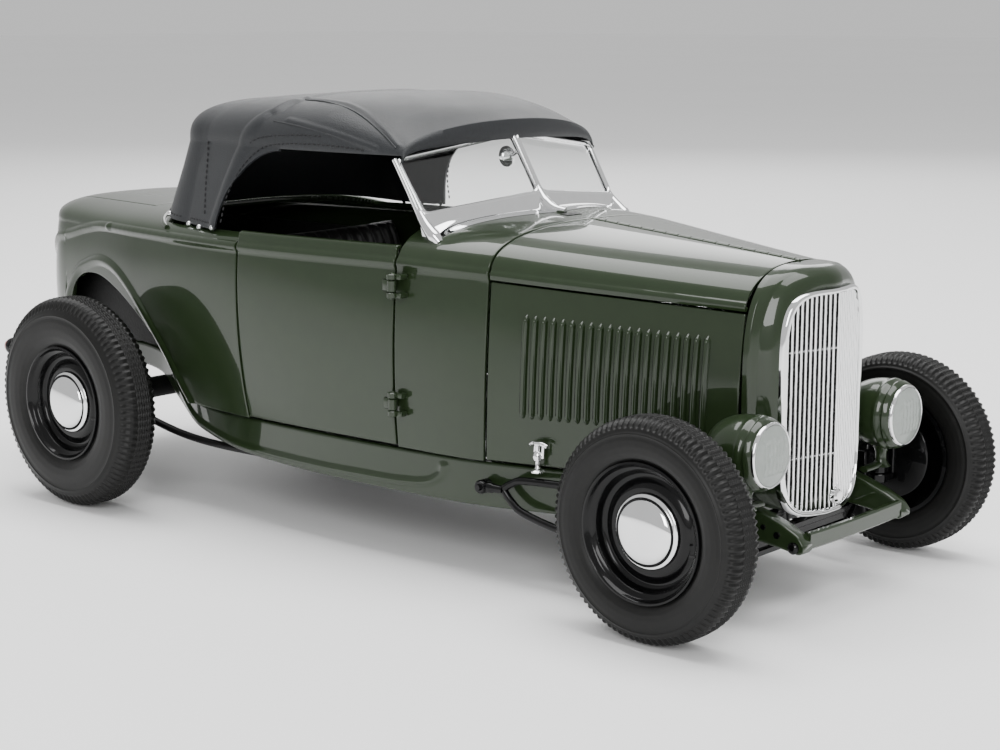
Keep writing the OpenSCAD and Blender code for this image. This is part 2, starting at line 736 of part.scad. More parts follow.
// Rear edge of the side opening
function opening_low_z(x) =
    let(t = min(1, max(0, (opening_x[1] - x) / (opening_x[1] - opening_x[0]))))
    mix(hem_z(x, top_y(x, 60) - top_skin), top_rim_z - 0.4, max(0, 1 - t ^ 1.9) ^ (1 / 1.9));

module soft_top() color(chassis_black) car() {
    angles = steps(0, 180, 24);
    dome = function(inset) concat(
        [for (up = [0, 0.33, 0.67]) [for (a = angles) top_wall_point(a, up, inset)]],
        [for (lift = [90, 70, 50, 30]) [for (a = angles) top_round_point(a, lift, inset)]],
        [for (x = [22, 30, 38, 46, 54, 62, 69, 76, 84]) [for (a = angles) top_roof_point(x, a, inset)]],
        [[for (a = angles)
            top_roof_point(84, a, inset)
            + [0.3, 0, (inset - 2.2) * (1 - abs(tail_share(a)) ^ 3)]]]
    );
    side = function(inset) [
        for (x = [22, 26, 30, 33.5, 34, 35, 36.5, 38.5, 41, 44, 47, 49])
            [for (s = steps(0, 1, 4))
                let(z = mix(opening_low_z(x), top_rim_z, s))
                [x, -top_y(x, z) + inset, z]]
    ];
    sheet(dome(0), dome(top_skin));
    both_sides() sheet(side(0), side(top_skin));
}

// ---------- doors ----------

knuckle_r = 1;

// Halves of the door hinges fixed to the cowl, with their pins
module door_hinge_pins() color(hood_green) car()
    both_sides()
        for (z = hinge_z)
            translate([hinge_at[0], -hinge_at[1], z]) {
                translate([0, 0, -2.2]) cylinder(h = 4.4, r = hinge_pin_r);
                for (side = [-1, 1])
                    translate([0, 0, side * 1.7]) {
                        cylinder(h = 1, r = knuckle_r, center = true);
                        translate([0, 0.3, -0.5])
                            cube([3.4, hinge_at[1] - 0.45 - side_y(hinge_at[0], z), 1]);
                    }
            }

module door() {
    difference() {
        union() {
            side_panel(door_x[0], door_x[1], sill_z + 0.3, belt_z + 4, 8, 8, 1.6);
            for (z = hinge_z) {
                translate([hinge_at[0], -hinge_at[1], z - 1.1]) cylinder(h = 2.2, r = knuckle_r);
                translate([80.4, -hinge_at[1] - 0.4, z - 1.1])
                    cube([2.6, hinge_at[1] + 1 - side_y(82, z), 2.2]);
                translate([82.4, -hinge_at[1] - 0.4, z - 1.1]) cube([1.9, 1, 2.2]);
            }
        }
        for (z = hinge_z)
            translate([hinge_at[0], -hinge_at[1], z - 3])
                cylinder(h = 6, r = hinge_pin_r + running_fit);
    }
}

module door_right() color(hood_green) car() door();

module door_left() color(hood_green) car() mirror([0, 1, 0]) door();

// ---------- front axle and steering ----------

beam_outline = [
    [-kingpin_y, 17], [-kingpin_y + 3, 17], [-22, 9.2], [-19, 8.4], [19, 8.4], [22, 9.2],
    [kingpin_y - 3, 17], [kingpin_y, 17], [kingpin_y, 21.6], [kingpin_y - 4.4, 21.6],
    [20.2, 12.8], [18, 12.2], [-18, 12.2], [-20.2, 12.8], [4.4 - kingpin_y, 21.6], [-kingpin_y, 21.6],
];

// Dropped I-beam with king pins, and the brackets that take the hairpin rods
module front_axle() color(chassis_black) car() {
    translate([front_x + 1.2, 0, 0]) rotate([90, 0, -90]) linear_extrude(2.4) polygon(beam_outline);
    both_sides() {
        translate([front_x, -kingpin_y, 16.6]) cylinder(h = 5.6, r = 2.2);
        translate([front_x, -kingpin_y, 14.4]) cylinder(h = 10, r = kingpin_r);
        translate([front_x - 1.2, -27, 8.6]) cube([2.4, 2, 13.2]);
    }
}

// Transverse leaf pack over the beam
module front_spring() color(chassis_black) car()
    translate([front_x + 1.8, 0, 0]) rotate([90, 0, -90]) linear_extrude(3.6)
        polygon([
            [-19.8, 12.9], [-14, 13.1], [0, 13.8], [14, 13.1], [19.8, 12.9], [19.8, 13.5],
            [14, 13.8], [10, 15], [5, 16.2], [-5, 16.2], [-10, 15], [-14, 13.8], [-19.8, 13.5],
        ]);

// Split radius rods from the frame sides to the ends of the axle
module hairpin_rods() color(chassis_black) car()
    both_sides() {
        upper = [[107.4, -31.4, 17.9], [112.4, -30.8, 20], [147.6, -26, 20.6]];
        lower = [[107.4, -31.4, 17.9], [112.6, -30.8, 14], [130, -28.6, 10.9], [147.6, -26, 9.6]];
        rod(upper, 0.7);
        rod(lower, 0.7);
        rod([[108, -31.3, 17.9], [104.4, -31.9, 17.9]], 0.95);
        translate([104.4, -33.2, 17.9]) rotate([-90, 0, 0]) cylinder(h = 2.4, r = 1.3);
    }

module spindle() {
    arm_x = front_x - arm_back;
    difference() {
        union() {
            for (z = [14.6, 22.4])
                translate([front_x, -kingpin_y, z]) cylinder(h = 1.8, r = 2.2);
            for (z = [14.6, 22.4])
                translate([front_x - 2, -35.4, z]) cube([4, 3.9, 1.8]);
            translate([front_x - 2, -35.4, 14.6]) cube([4, 1.4, 9.6]);
            translate([front_x, -35.4, front_tyre_r]) rotate([90, 0, 0])
                cylinder(h = front_face_y - 38.5, r = stub_r);
            translate([front_x, -35.4, front_tyre_r]) rotate([90, 0, 0]) cylinder(h = 0.9, r = 8.6);
            translate([arm_x, -kingpin_y - 1, 13.5]) cube([arm_back, 2, 1.5]);
            translate([arm_x, -kingpin_y, tie_z - 1.2]) cylinder(h = 2.4, r = tie_pin_r);
            translate([arm_x, -kingpin_y, 13.5]) cylinder(h = 1.5, r = 1.3);
        }
        translate([front_x, -kingpin_y, 13]) cylinder(h = 13, r = kingpin_r + running_fit);
    }
}

module spindle_right() color(chassis_black) car() spindle();

module spindle_left() color(chassis_black) car() mirror([0, 1, 0]) spindle();

// Rod between the steering arms; the left eye has room for the open end of the linkage
module tie_rod() color(chassis_black) car()
    translate([front_x - arm_back, 0, tie_z])
        difference() {
            union() {
                translate([0, -kingpin_y, 0]) rotate([-90, 0, 0]) cylinder(h = 2 * kingpin_y, r = 0.6);
                both_sides() translate([0, -kingpin_y, -0.7]) cylinder(h = 1.4, r = 1.3);
            }
            translate([0, -kingpin_y, -2]) cylinder(h = 4, r = tie_pin_r + running_fit);
            translate([0, kingpin_y, -2]) cylinder(h = 4, r = tie_pin_r + 0.15);
        }

// ---------- rear axle ----------

shaft_r = 1.4;

// Axle tube with the differential, fixed backing plates, radius bars and the cross spring
module rear_axle_housing() color(chassis_black) car() {
    difference() {
        union() {
            translate([0, -38, rear_tyre_r]) rotate([-90, 0, 0]) cylinder(h = 76, r = 2.3);
            translate([0, 0, rear_tyre_r]) sphere(6.2);
            both_sides() translate([0, -39, rear_tyre_r]) rotate([-90, 0, 0]) cylinder(h = 1.6, r = 8.6);
            translate([5, 0, rear_tyre_r - 0.6]) rotate([0, 96, 0]) cylinder(h = 30, r = 1.3);
            both_sides()
                rod([[1, -32, rear_tyre_r - 2.5], [9, -31, 16.6], [22, -28.4, 13.8], [45, -24, 12.5]], 0.8);
        }
        translate([0, -60, rear_tyre_r]) rotate([-90, 0, 0]) cylinder(h = 120, r = shaft_r + running_fit);
    }
}

module rear_axle_shaft() color(chrome_grey) car()
    translate([0, 2.8 - rear_face_y, rear_tyre_r]) rotate([-90, 0, 0])
        cylinder(h = 2 * (rear_face_y - 2.8), r = shaft_r);

// ---------- wheels ----------

// Wheels are drawn outer face down, then stood up on the right side of the car
module stood_up(x, face_y, r) translate([x, -face_y, r]) rotate([-90, 0, 0]) children();

module tyre(r, w) rotate_extrude()
    polygon([
        [wheel_r, 0.7], [wheel_r + 1.3, 0.2], [r - 3.4, 0], [r - 1.2, 0.5], [r - 0.3, 1.7],
        [r, 3], [r, w - 3], [r - 0.3, w - 1.7], [r - 1.2, w - 0.5], [r - 3.4, w],
        [wheel_r + 1.3, w - 0.2], [wheel_r, w - 0.7],
    ]);

module rim(w, bore_r) rotate_extrude()
    polygon([
        [wheel_r, 0.5], [wheel_r, w - 0.5], [wheel_r - 0.8, w - 0.5], [wheel_r - 1.5, w - 1.6],
        [wheel_r - 1.7, 4.8], [9.3, 4.6], [7.2, 3.9], [3.1, 3.9], [3.1, 6.2], [bore_r, 6.2],
        [bore_r, 2.8], [7, 2.8], [8.8, 3.6], [9.9, 3.3], [10.2, 1.9], [11, 1.4], [11.4, 0.5],
    ]);

module hubcap() rotate_extrude()
    polygon(concat([[0, 2.8]], [for (a = steps(0, 90, 10)) [6.5 * cos(a), 2.8 - 2.5 * sin(a)]]));

module front_wheel_place() stood_up(front_x, front_face_y, front_tyre_r) children();

module rear_wheel_place() stood_up(0, rear_face_y, rear_tyre_r) children();

front_tyre_w = 9.1;
rear_tyre_w = 10;

module tyre_front_right() color(rubber_grey) car()
    front_wheel_place() tyre(front_tyre_r, front_tyre_w);

module tyre_front_left() color(rubber_grey) car() mirror([0, 1, 0])
    front_wheel_place() tyre(front_tyre_r, front_tyre_w);

module tyre_rear_right() color(rubber_grey) car()
    rear_wheel_place() tyre(rear_tyre_r, rear_tyre_w);

module tyre_rear_left() color(rubber_grey) car() mirror([0, 1, 0])
    rear_wheel_place() tyre(rear_tyre_r, rear_tyre_w);

module rim_front_right() color(chassis_black) car()
    front_wheel_place() rim(front_tyre_w, stub_r + running_fit);

module rim_front_left() color(chassis_black) car() mirror([0, 1, 0])
    front_wheel_place() rim(front_tyre_w, stub_r + running_fit);

module rim_rear_right() color(chassis_black) car()
    rear_wheel_place() rim(rear_tyre_w, shaft_r);

module rim_rear_left() color(chassis_black) car() mirror([0, 1, 0])
    rear_wheel_place() rim(rear_tyre_w, shaft_r);

module hubcap_front_right() color(chrome_grey) car() front_wheel_place() hubcap();

module hubcap_front_left() color(chrome_grey) car() mirror([0, 1, 0]) front_wheel_place() hubcap();

module hubcaps_rear() color(chrome_grey) car() both_sides() rear_wheel_place() hubcap();

frame_rail_right();
frame_rail_left();
crossmember_front();
crossmember_middle();
front_spreader_bar();
rear_spreader_bar();
interior_tub();
cowl();
firewall();
rear_body();
grille_shell();
grille_insert();
radiator();
engine_block();
cylinder_heads();
air_cleaner();
exhaust_pipes();
dashboard();
seat_cushion();
seat_back();
steering_column();
headlight_bucket_right();
headlight_bucket_left();
headlight_lens_right();
headlight_lens_left();
tail_lights();
windshield_frame();
windshield_glass();
rear_view_mirror();
front_axle();
front_spring();
hairpin_rods();
rear_axle_housing();
hood_hinge_rod();
door_hinge_pins();
hood_side_right();
hood_side_left();
hood_latches();
door_right();
door_left();
decklid();
hood_top_right();
hood_top_left();
soft_top();
spindle_right();
spindle_left();
tie_rod();
steering_wheel();
rear_axle_shaft();
tyre_front_right();
tyre_front_left();
tyre_rear_right();
tyre_rear_left();
rim_front_right();
rim_front_left();
rim_rear_right();
rim_rear_left();
hubcap_front_right();
hubcap_front_left();
hubcaps_rear();
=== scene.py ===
"""Looks of the 1:18 highboy roadster: fine pieces, materials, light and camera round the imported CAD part.

Shapes are given in millimetres from the rear axle: x forward, y left, z up from the ground.
"""
import math

import bmesh
import bpy
import numpy as np
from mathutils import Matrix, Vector


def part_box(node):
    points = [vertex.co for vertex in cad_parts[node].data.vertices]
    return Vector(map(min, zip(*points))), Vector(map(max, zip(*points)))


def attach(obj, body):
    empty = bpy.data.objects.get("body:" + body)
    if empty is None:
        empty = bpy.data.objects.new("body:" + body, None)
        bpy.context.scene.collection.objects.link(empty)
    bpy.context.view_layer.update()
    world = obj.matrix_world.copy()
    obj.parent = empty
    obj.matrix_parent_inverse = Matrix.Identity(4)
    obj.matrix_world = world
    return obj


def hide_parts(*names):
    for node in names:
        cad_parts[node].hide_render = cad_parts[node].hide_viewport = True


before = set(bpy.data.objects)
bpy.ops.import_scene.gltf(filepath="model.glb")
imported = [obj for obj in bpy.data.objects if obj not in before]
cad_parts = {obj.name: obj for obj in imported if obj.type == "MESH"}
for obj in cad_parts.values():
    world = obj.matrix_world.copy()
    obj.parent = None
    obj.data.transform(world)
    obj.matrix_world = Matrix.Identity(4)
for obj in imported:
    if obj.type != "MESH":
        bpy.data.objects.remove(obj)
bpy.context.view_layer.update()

MM = 0.001
WHEELBASE = 149.6
FRONT_R, REAR_R = 19.36, 22.35
FRONT_W, REAR_W = 9.1, 10.0
FRONT_FACE, REAR_FACE = 44.8, 50.1
rear_low, rear_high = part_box("tyre_rear_right")
AXLE_X = (rear_low.x + rear_high.x) / 2

# ---------- body curves ----------

BODY_X = [-45, -20, 5, 41.6, 83.4, 104, 151, 161]
SILL_W = [20.5, 25, 29, 33.6, 33.1, 31.4, 17.8, 14.5]
WAIST_W = [23, 28.2, 33, 36.3, 33.9, 30.9, 17.4, 14.2]
BELT_W = [22, 27.4, 32.4, 36, 32.9, 29.9, 15.4, 12.8]
SILL_Z, WAIST_Z, BELT_Z = 22.5, 42.0, 57.0
HOOD_X = (104.2, 150.6)
HOOD_TOP_Z = (64.9, 60.8)
BEAD_Z = (56.2, 53.4)
COWL_X = (80.0, 103.8)
DOOR_X = (42.0, 83.0)
TAIL_X, TAIL_END_X = -28.0, -43.6
TAIL_POWER, DECK_POWER, DECK_RISE = 2.6, 3.0, 5.4
ARCH_PEAK, ARCH_FRONT, ARCH_REAR = (-12.0, 47.1), 31.0, 16.0


def curve(xs, ys, x):
    """Smooth curve through the points (xs, ys)."""
    xs, ys, x = np.asarray(xs, float), np.asarray(ys, float), np.asarray(x, float)
    n = len(xs)
    a, b = np.maximum(np.arange(n) - 1, 0), np.minimum(np.arange(n) + 1, n - 1)
    slope = (ys[b] - ys[a]) / (xs[b] - xs[a])
    i = np.clip(np.searchsorted(xs, x, side="right") - 1, 0, n - 2)
    h = xs[i + 1] - xs[i]
    t = (x - xs[i]) / h
    return (
        (2 * t**3 - 3 * t**2 + 1) * ys[i] + (t**3 - 2 * t**2 + t) * slope[i] * h
        + (3 * t**2 - 2 * t**3) * ys[i + 1] + (t**3 - t**2) * slope[i + 1] * h
    )


def mix(a, b, t):
    return a + (b - a) * t


def power(v, p):
    return np.sign(v) * np.abs(v) ** p


def side_y(x, z):
    """Half-width of the body side at height z."""
    a, b, c = curve(BODY_X, SILL_W, x), curve(BODY_X, WAIST_W, x), curve(BODY_X, BELT_W, x)
    return (
        a * (z - WAIST_Z) * (z - BELT_Z) / ((SILL_Z - WAIST_Z) * (SILL_Z - BELT_Z))
        + b * (z - SILL_Z) * (z - BELT_Z) / ((WAIST_Z - SILL_Z) * (WAIST_Z - BELT_Z))
        + c * (z - SILL_Z) * (z - WAIST_Z) / ((BELT_Z - SILL_Z) * (BELT_Z - WAIST_Z))
    )


def along_hood(x):
    return (np.asarray(x, float) - HOOD_X[0]) / (HOOD_X[1] - HOOD_X[0])


def hood_bead_z(x):
    return mix(BEAD_Z[0], BEAD_Z[1], np.maximum(0, along_hood(x)))


def hood_crown_z(x):
    rise = np.sin(np.radians(90 * (HOOD_X[0] - x) / (HOOD_X[0] - COWL_X[0])))
    return np.where(x > HOOD_X[0], mix(HOOD_TOP_Z[0], HOOD_TOP_Z[1], along_hood(x)),
                    HOOD_TOP_Z[0] + 1.3 * rise)


def crown_point(x, share):
    """Point of the cowl and hood crown; share runs from -1 on the right bead to 1 on the left."""
    p, base = mix(2.7, 2.1, np.maximum(0, along_hood(x))), hood_bead_z(x)
    z = base + (hood_crown_z(x) - base) * np.maximum(0, 1 - np.abs(share) ** p) ** (1 / p)
    return np.stack(np.broadcast_arrays(x, share * side_y(x, base), z), -1)


def cowl_z(x, y):
    return float(crown_point(np.float64(x), y / side_y(x, hood_bead_z(x)))[2])


def quarter_low_z(x):
    """Lower edge of the rear quarters: the sill, raised to the wheel arch."""
    d = np.asarray(x, float) - ARCH_PEAK[0]
    share = np.clip(np.where(d > 0, d / ARCH_FRONT, -d / ARCH_REAR), 0, 1)
    p = np.where(d > 0, 1.6, 2.8)
    return SILL_Z + (ARCH_PEAK[1] - SILL_Z) * np.maximum(0, 1 - share**p) ** (1 / p)


def tail_share(angle):
    return -power(np.cos(np.radians(angle)), 2 / TAIL_POWER)


def tail_reach(angle):
    return np.abs(np.sin(np.radians(angle))) ** (2 / TAIL_POWER)


def tail_length(z):
    return TAIL_X - TAIL_END_X + 1.4 * (BELT_Z - z) / (BELT_Z - SILL_Z) - 1.2 * ((z - 35) / 22) ** 2


def dome_height(reach, share, rise):
    full = reach**TAIL_POWER + np.abs(share) ** TAIL_POWER
    return rise * np.maximum(0, 1 - full ** (DECK_POWER / TAIL_POWER)) ** (1 / DECK_POWER)


def stack(*coords):
    return np.stack(np.broadcast_arrays(*[np.asarray(c, float) for c in coords]), -1)


# ---------- meshes ----------

def grid_part(grid, keep=None, wrap=False):
    """Faces over a grid of points; keep is a mask of its cells."""
    ni, nj = grid.shape[:2]
    index = np.arange(ni * nj).reshape(ni, nj)
    if wrap:
        index = np.hstack([index, index[:, :1]])
    quads = np.stack([index[:-1, :-1], index[:-1, 1:], index[1:, 1:], index[1:, :-1]], -1)
    quads = quads[keep] if keep is not None else quads.reshape(-1, 4)
    return grid.reshape(-1, 3), quads.tolist()


def loft_part(rings, caps=True):
    rings = np.asarray(rings, float)
    points, faces = grid_part(rings, wrap=True)
    n, last = rings.shape[1], (rings.shape[0] - 1) * rings.shape[1]
    if caps:
        faces = faces + [list(range(n)), list(range(last + n - 1, last - 1, -1))]
    return points, faces


def basis(axis):
    axis = np.asarray(axis, float)
    axis = axis / np.linalg.norm(axis)
    u = np.cross(axis, [0, 0, 1.0] if abs(axis[2]) < 0.9 else [1.0, 0, 0])
    u /= np.linalg.norm(u)
    return axis, u, np.cross(axis, u)


def lathe_part(profile, origin, axis, count=96, ripple=None):
    """Turned shape: profile is (radius, distance along the axis); ripple adds to the radius."""
    axis, u, v = basis(axis)
    profile = np.asarray(profile, float)
    a = np.arange(count) * 2 * np.pi / count
    r = profile[:, 0][:, None] * np.ones(count)
    if ripple is not None:
        r = r + ripple(profile, a)
    d = profile[:, 1][:, None, None] * axis
    grid = np.asarray(origin, float) + d + r[..., None] * (np.cos(a)[None, :, None] * u + np.sin(a)[None, :,
        None] * v)
    return grid_part(grid, wrap=True)


def smooth_path(points, step=0.5, closed=False):
    """Points along a rounded curve through the given ones."""
    p = np.asarray(points, float)
    if closed:
        p = np.vstack([p[-1:], p, p[:2]])
    else:
        p = np.vstack([2 * p[0] - p[1], p, 2 * p[-1] - p[-2]])
    out = []
    for i in range(1, len(p) - 2):
        n = max(2, int(np.linalg.norm(p[i + 1] - p[i]) / step))
        t = np.linspace(0, 1, n, endpoint=False)[:, None]
        out.append(0.5 * (
            2 * p[i] + (p[i + 1] - p[i - 1]) * t
            + (2 * p[i - 1] - 5 * p[i] + 4 * p[i + 1] - p[i + 2]) * t**2
            + (3 * p[i] - p[i - 1] - 3 * p[i + 1] + p[i + 2]) * t**3
        ))
    if not closed:
        out.append(p[-2:-1])
    return np.vstack(out)


def tube_part(points, radius, sides=16, closed=False, flat=1.0, up=None):
    """Round or oval rod along the points; radius may be one value or one for each point."""
    p = np.asarray(points, float)
    if closed:
        t = np.roll(p, -1, 0) - np.roll(p, 1, 0)
    else:
        t = np.gradient(p, axis=0)
    t /= np.linalg.norm(t, axis=1)[:, None]
    r = np.broadcast_to(np.asarray(radius, float), (len(p),))
    if up is None:
        u = basis(t[0])[1]
        us = []
        for k in range(len(p)):
            u = u - t[k] * (u @ t[k])
            u = u / np.linalg.norm(u)
            us.append(u)
        us = np.array(us)
    else:
        us = np.cross(t, np.asarray(up, float))
        us /= np.linalg.norm(us, axis=1)[:, None]
    vs = np.cross(t, us)
    a = (np.arange(sides) + 0.5) * 2 * np.pi / sides
    ring = np.cos(a)[None, :, None] * us[:, None] + flat * np.sin(a)[None, :, None] * vs[:, None]
    grid = p[:, None] + r[:, None, None] * ring
    if closed:
        grid = np.concatenate([grid, grid[:1]])
        return grid_part(grid, wrap=True)
    return loft_part(grid)


def block_part(low, high, corner=0.3):
    """Box with its upright edges and rims rounded off."""
    low, high = np.asarray(low, float), np.asarray(high, float)
    c = np.minimum(corner, (high - low).min() / 2.2)
    rings = []
    for inset, z in ((c, low[2]), (0.3 * c, low[2] + 0.3 * c), (0, low[2] + c), (0, high[2] - c),
                     (0.3 * c, high[2] - 0.3 * c), (c, high[2])):
        x0, y0, x1, y1 = low[0] + inset, low[1] + inset, high[0] - inset, high[1] - inset
        ring = []
        for cx, cy, start in ((x1 - c, y1 - c, 0), (x0 + c, y1 - c, 90), (x0 + c, y0 + c, 180),
                              (x1 - c, y0 + c, 270)):
            for k in (0, 30, 60, 90):
                a = math.radians(start + k)
                ring.append([cx + c * math.cos(a), cy + c * math.sin(a), z])
        rings.append(ring)
    return loft_part(rings)


def mirrored(part):
    points, faces = part
    return points * [1, -1, 1], faces


def both(*parts):
    return [*parts, *[mirrored(p) for p in parts]]


def bead_height(points, beads):
    """How far each point stands out for the pressed beads near it."""
    q = points * [1, 1, 1]
    q[:, 1] = -np.abs(q[:, 1])
    out = np.zeros(len(q))
    for line, half, height in beads:
        line = smooth_path(line, 0.35)
        near = np.full(len(q), 1e9)
        for s in range(0, len(line), 64):
            d = ((q[:, None] - line[None, s:s + 64]) ** 2).sum(-1).min(1)
            near = np.minimum(near, d)
        out += height * np.clip(1 - near / half**2, 0, 1) ** 1.2
    return out


def piece(name, parts, finish, body, node=(), thick=0, beads=(), inside=None, bevel=0, sharp=35,
          relief=None, even=True):
    """One mesh object from the parts. inside is a point that the outer side faces away from."""
    points, faces, start = [], [], 0
    for p, f in parts:
        points.append(np.asarray(p, float))
        faces += [[i + start for i in face] for face in f]
        start += len(p)
    points = np.vstack(points)
    mesh = bpy.data.meshes.new(name)
    mesh.from_pydata((points * MM + [AXLE_X, 0, 0]).tolist(), [], faces)
    bm = bmesh.new()
    bm.from_mesh(mesh)
    bmesh.ops.remove_doubles(bm, verts=bm.verts, dist=0.002 * MM)
    bmesh.ops.dissolve_degenerate(bm, dist=0.001 * MM, edges=bm.edges)
    bmesh.ops.recalc_face_normals(bm, faces=bm.faces)
    if inside is not None:
        centre = Vector((inside[0] * MM + AXLE_X, inside[1] * MM, inside[2] * MM))
        facing = sum(f.normal.dot(f.calc_center_median() - centre) * f.calc_area() for f in bm.faces)
        if facing < 0:
            bmesh.ops.reverse_faces(bm, faces=bm.faces)
    bm.to_mesh(mesh)
    bm.free()
    mesh.update()
    if beads or relief:
        co = np.zeros(len(mesh.vertices) * 3)
        normal = np.zeros(len(mesh.vertices) * 3)
        mesh.vertices.foreach_get("co", co)
        mesh.vertices.foreach_get("normal", normal)
        co, normal = co.reshape(-1, 3), normal.reshape(-1, 3)
        local = (co - [AXLE_X, 0, 0]) / MM
        rise = bead_height(local, beads) if beads else 0
        if relief:
            rise = rise + relief(local)
        co += normal * (rise * MM)[:, None]
        mesh.vertices.foreach_set("co", co.ravel())
        mesh.update()
    mesh.polygons.foreach_set("use_smooth", [True] * len(mesh.polygons))
    mesh.set_sharp_from_angle(angle=math.radians(sharp))
    obj = bpy.data.objects.new(name, mesh)
    bpy.context.scene.collection.objects.link(obj)
    material, slot = finish
    mesh.materials.append(material)
    if thick:
        m = obj.modifiers.new("skin", "SOLIDIFY")
        m.thickness, m.offset = thick * MM, -1
        m.use_even_offset = even
    if bevel:
        m = obj.modifiers.new("edge", "BEVEL")
        m.width, m.segments, m.limit_method = bevel * MM, 2, "ANGLE"
        m.angle_limit = math.radians(50)
        m.harden_normals = False
    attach(obj, body)
    if node:
        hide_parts(*([node] if isinstance(node, str) else node))
    return obj


# ---------- materials ----------

def node_material(name, slot, color, rough, metal=0.0, coat=0.0, coat_rough=0.03, spread=0.08, grain=900.0,
                  bump=0.0, bump_grain=None, rough_spread=0.05, sheen=0.0, transmission=0.0, ior=1.45,
                  weave=0.0, shine=0.5):
    """Principled material whose colour and roughness vary with noise in the object's own space."""
    m = bpy.data.materials.new(name)
    m.use_nodes = True
    nodes, links = m.node_tree.nodes, m.node_tree.links
    shader = nodes["Principled BSDF"]
    shader.inputs["Metallic"].default_value = metal
    shader.inputs["Coat Weight"].default_value = coat
    shader.inputs["Coat Roughness"].default_value = coat_rough
    shader.inputs["Sheen Weight"].default_value = sheen
    shader.inputs["Sheen Roughness"].default_value = 0.4
    shader.inputs["Transmission Weight"].default_value = transmission
    shader.inputs["IOR"].default_value = ior
    shader.inputs["Specular IOR Level"].default_value = shine
    place = nodes.new("ShaderNodeTexCoord")
    noise = nodes.new("ShaderNodeTexNoise")
    noise.inputs["Scale"].default_value = grain
    noise.inputs["Detail"].default_value = 6
    links.new(place.outputs["Object"], noise.inputs["Vector"])
    ramp = nodes.new("ShaderNodeValToRGB")
    ramp.color_ramp.elements[0].position, ramp.color_ramp.elements[1].position = 0.3, 0.7
    ramp.color_ramp.elements[0].color = [c * (1 - spread) for c in color] + [1]
    ramp.color_ramp.elements[1].color = [min(1, c * (1 + spread)) for c in color] + [1]
    links.new(noise.outputs["Fac"], ramp.inputs["Fac"])
    links.new(ramp.outputs["Color"], shader.inputs["Base Color"])
    wide = nodes.new("ShaderNodeTexNoise")
    wide.inputs["Scale"].default_value = grain / 9
    wide.inputs["Detail"].default_value = 4
    links.new(place.outputs["Object"], wide.inputs["Vector"])
    level = nodes.new("ShaderNodeMapRange")
    level.inputs["To Min"].default_value = max(0.0, rough - rough_spread)
    level.inputs["To Max"].default_value = min(1.0, rough + rough_spread)
    links.new(wide.outputs["Fac"], level.inputs["Value"])
    links.new(level.outputs["Result"], shader.inputs["Roughness"])
    if bump or weave:
        height = nodes.new("ShaderNodeBump")
        height.inputs["Strength"].default_value = 0.7
        if weave:
            texture = nodes.new("ShaderNodeTexVoronoi")
            texture.inputs["Scale"].default_value = bump_grain or 2600
            source, amount = texture.outputs["Distance"], weave
        else:
            texture = nodes.new("ShaderNodeTexNoise")
            texture.inputs["Scale"].default_value = bump_grain or grain
            texture.inputs["Detail"].default_value = 3
            source, amount = texture.outputs["Fac"], bump
        height.inputs["Distance"].default_value = amount * MM
        links.new(place.outputs["Object"], texture.inputs["Vector"])
        links.new(source, height.inputs["Height"])
        links.new(height.outputs["Normal"], shader.inputs["Normal"])
    return m, slot


GREEN = node_material("enamel_green", "body_green", (0.014, 0.0245, 0.0095), 0.3, coat=0.75,
                      coat_rough=0.02,
                      spread=0.05, grain=350, bump=0.012, bump_grain=260, shine=0.12)
BLACK_GLOSS = node_material("enamel_black", "chassis_black", (0.002, 0.002, 0.0022), 0.26, coat=0.3,
                            grain=500,
                            bump=0.01, bump_grain=700, shine=0.12)
BLACK_SATIN = node_material("chassis_satin", "chassis_black", (0.003, 0.003, 0.003), 0.4, grain=700,
                            bump=0.03,
                            bump_grain=2500)
CHROME = node_material("chrome_plate", "chrome", (0.86, 0.865, 0.87), 0.045, metal=1.0, spread=0.02,
                       grain=300,
                       rough_spread=0.02, bump=0.004, bump_grain=350)
GLASS = node_material("clear_glass", "glass", (0.97, 0.985, 0.98), 0.02, transmission=1.0, spread=0.01,
                      grain=200,
                      rough_spread=0.01)
LENS = node_material("lamp_glass", "lamp_lens", (0.5, 0.54, 0.51), 0.14, transmission=0.5, spread=0.04,
                     grain=900,
                     bump=0.02, bump_grain=1500)
TAIL_RED = node_material("tail_lens", "tail_lens", (0.32, 0.006, 0.006), 0.12, coat=1.0, grain=1500)
CLOTH = node_material("top_cloth", "top_cloth", (0.014, 0.0155, 0.0175), 0.46, spread=0.18, grain=1500,
                      sheen=0.05,
                      weave=0.05, bump_grain=4200)
THREAD = node_material("black_thread", "top_cloth", (0.004, 0.004, 0.005), 0.7, grain=4000, bump=0.03,
                       sheen=0.1)
VINYL = node_material("seat_vinyl", "seat_vinyl", (0.007, 0.0065, 0.0065), 0.36, spread=0.15, grain=1200,
                      sheen=0.03,
                      weave=0.04, bump_grain=2600)
TRIM = node_material("inside_trim", "interior_trim", (0.01, 0.01, 0.01), 0.6, spread=0.2, grain=1200,
                     weave=0.05,
                     bump_grain=2200)
RUBBER = node_material("tyre_rubber", "tyre", (0.0045, 0.0045, 0.0042), 0.44, spread=0.2, grain=800,
                       bump=0.02,
                       bump_grain=3000, rough_spread=0.08, shine=0.3)
WHEEL_TRIM = node_material("steering_wheel_black", "wheel_trim", (0.01, 0.01, 0.011), 0.22, coat=0.6,
                           grain=900)
ENGINE = node_material("engine_paint", "engine_grey", (0.05, 0.06, 0.055), 0.45, grain=600, bump=0.06,
                       bump_grain=1500)
ALLOY = node_material("cast_alloy", "bare_alloy", (0.62, 0.62, 0.63), 0.35, metal=1.0, grain=1200,
                      bump=0.03,
                      bump_grain=3000)
STEEL = node_material("exhaust_steel", "exhaust_steel", (0.22, 0.21, 0.2), 0.38, metal=1.0, grain=700,
                      spread=0.2)
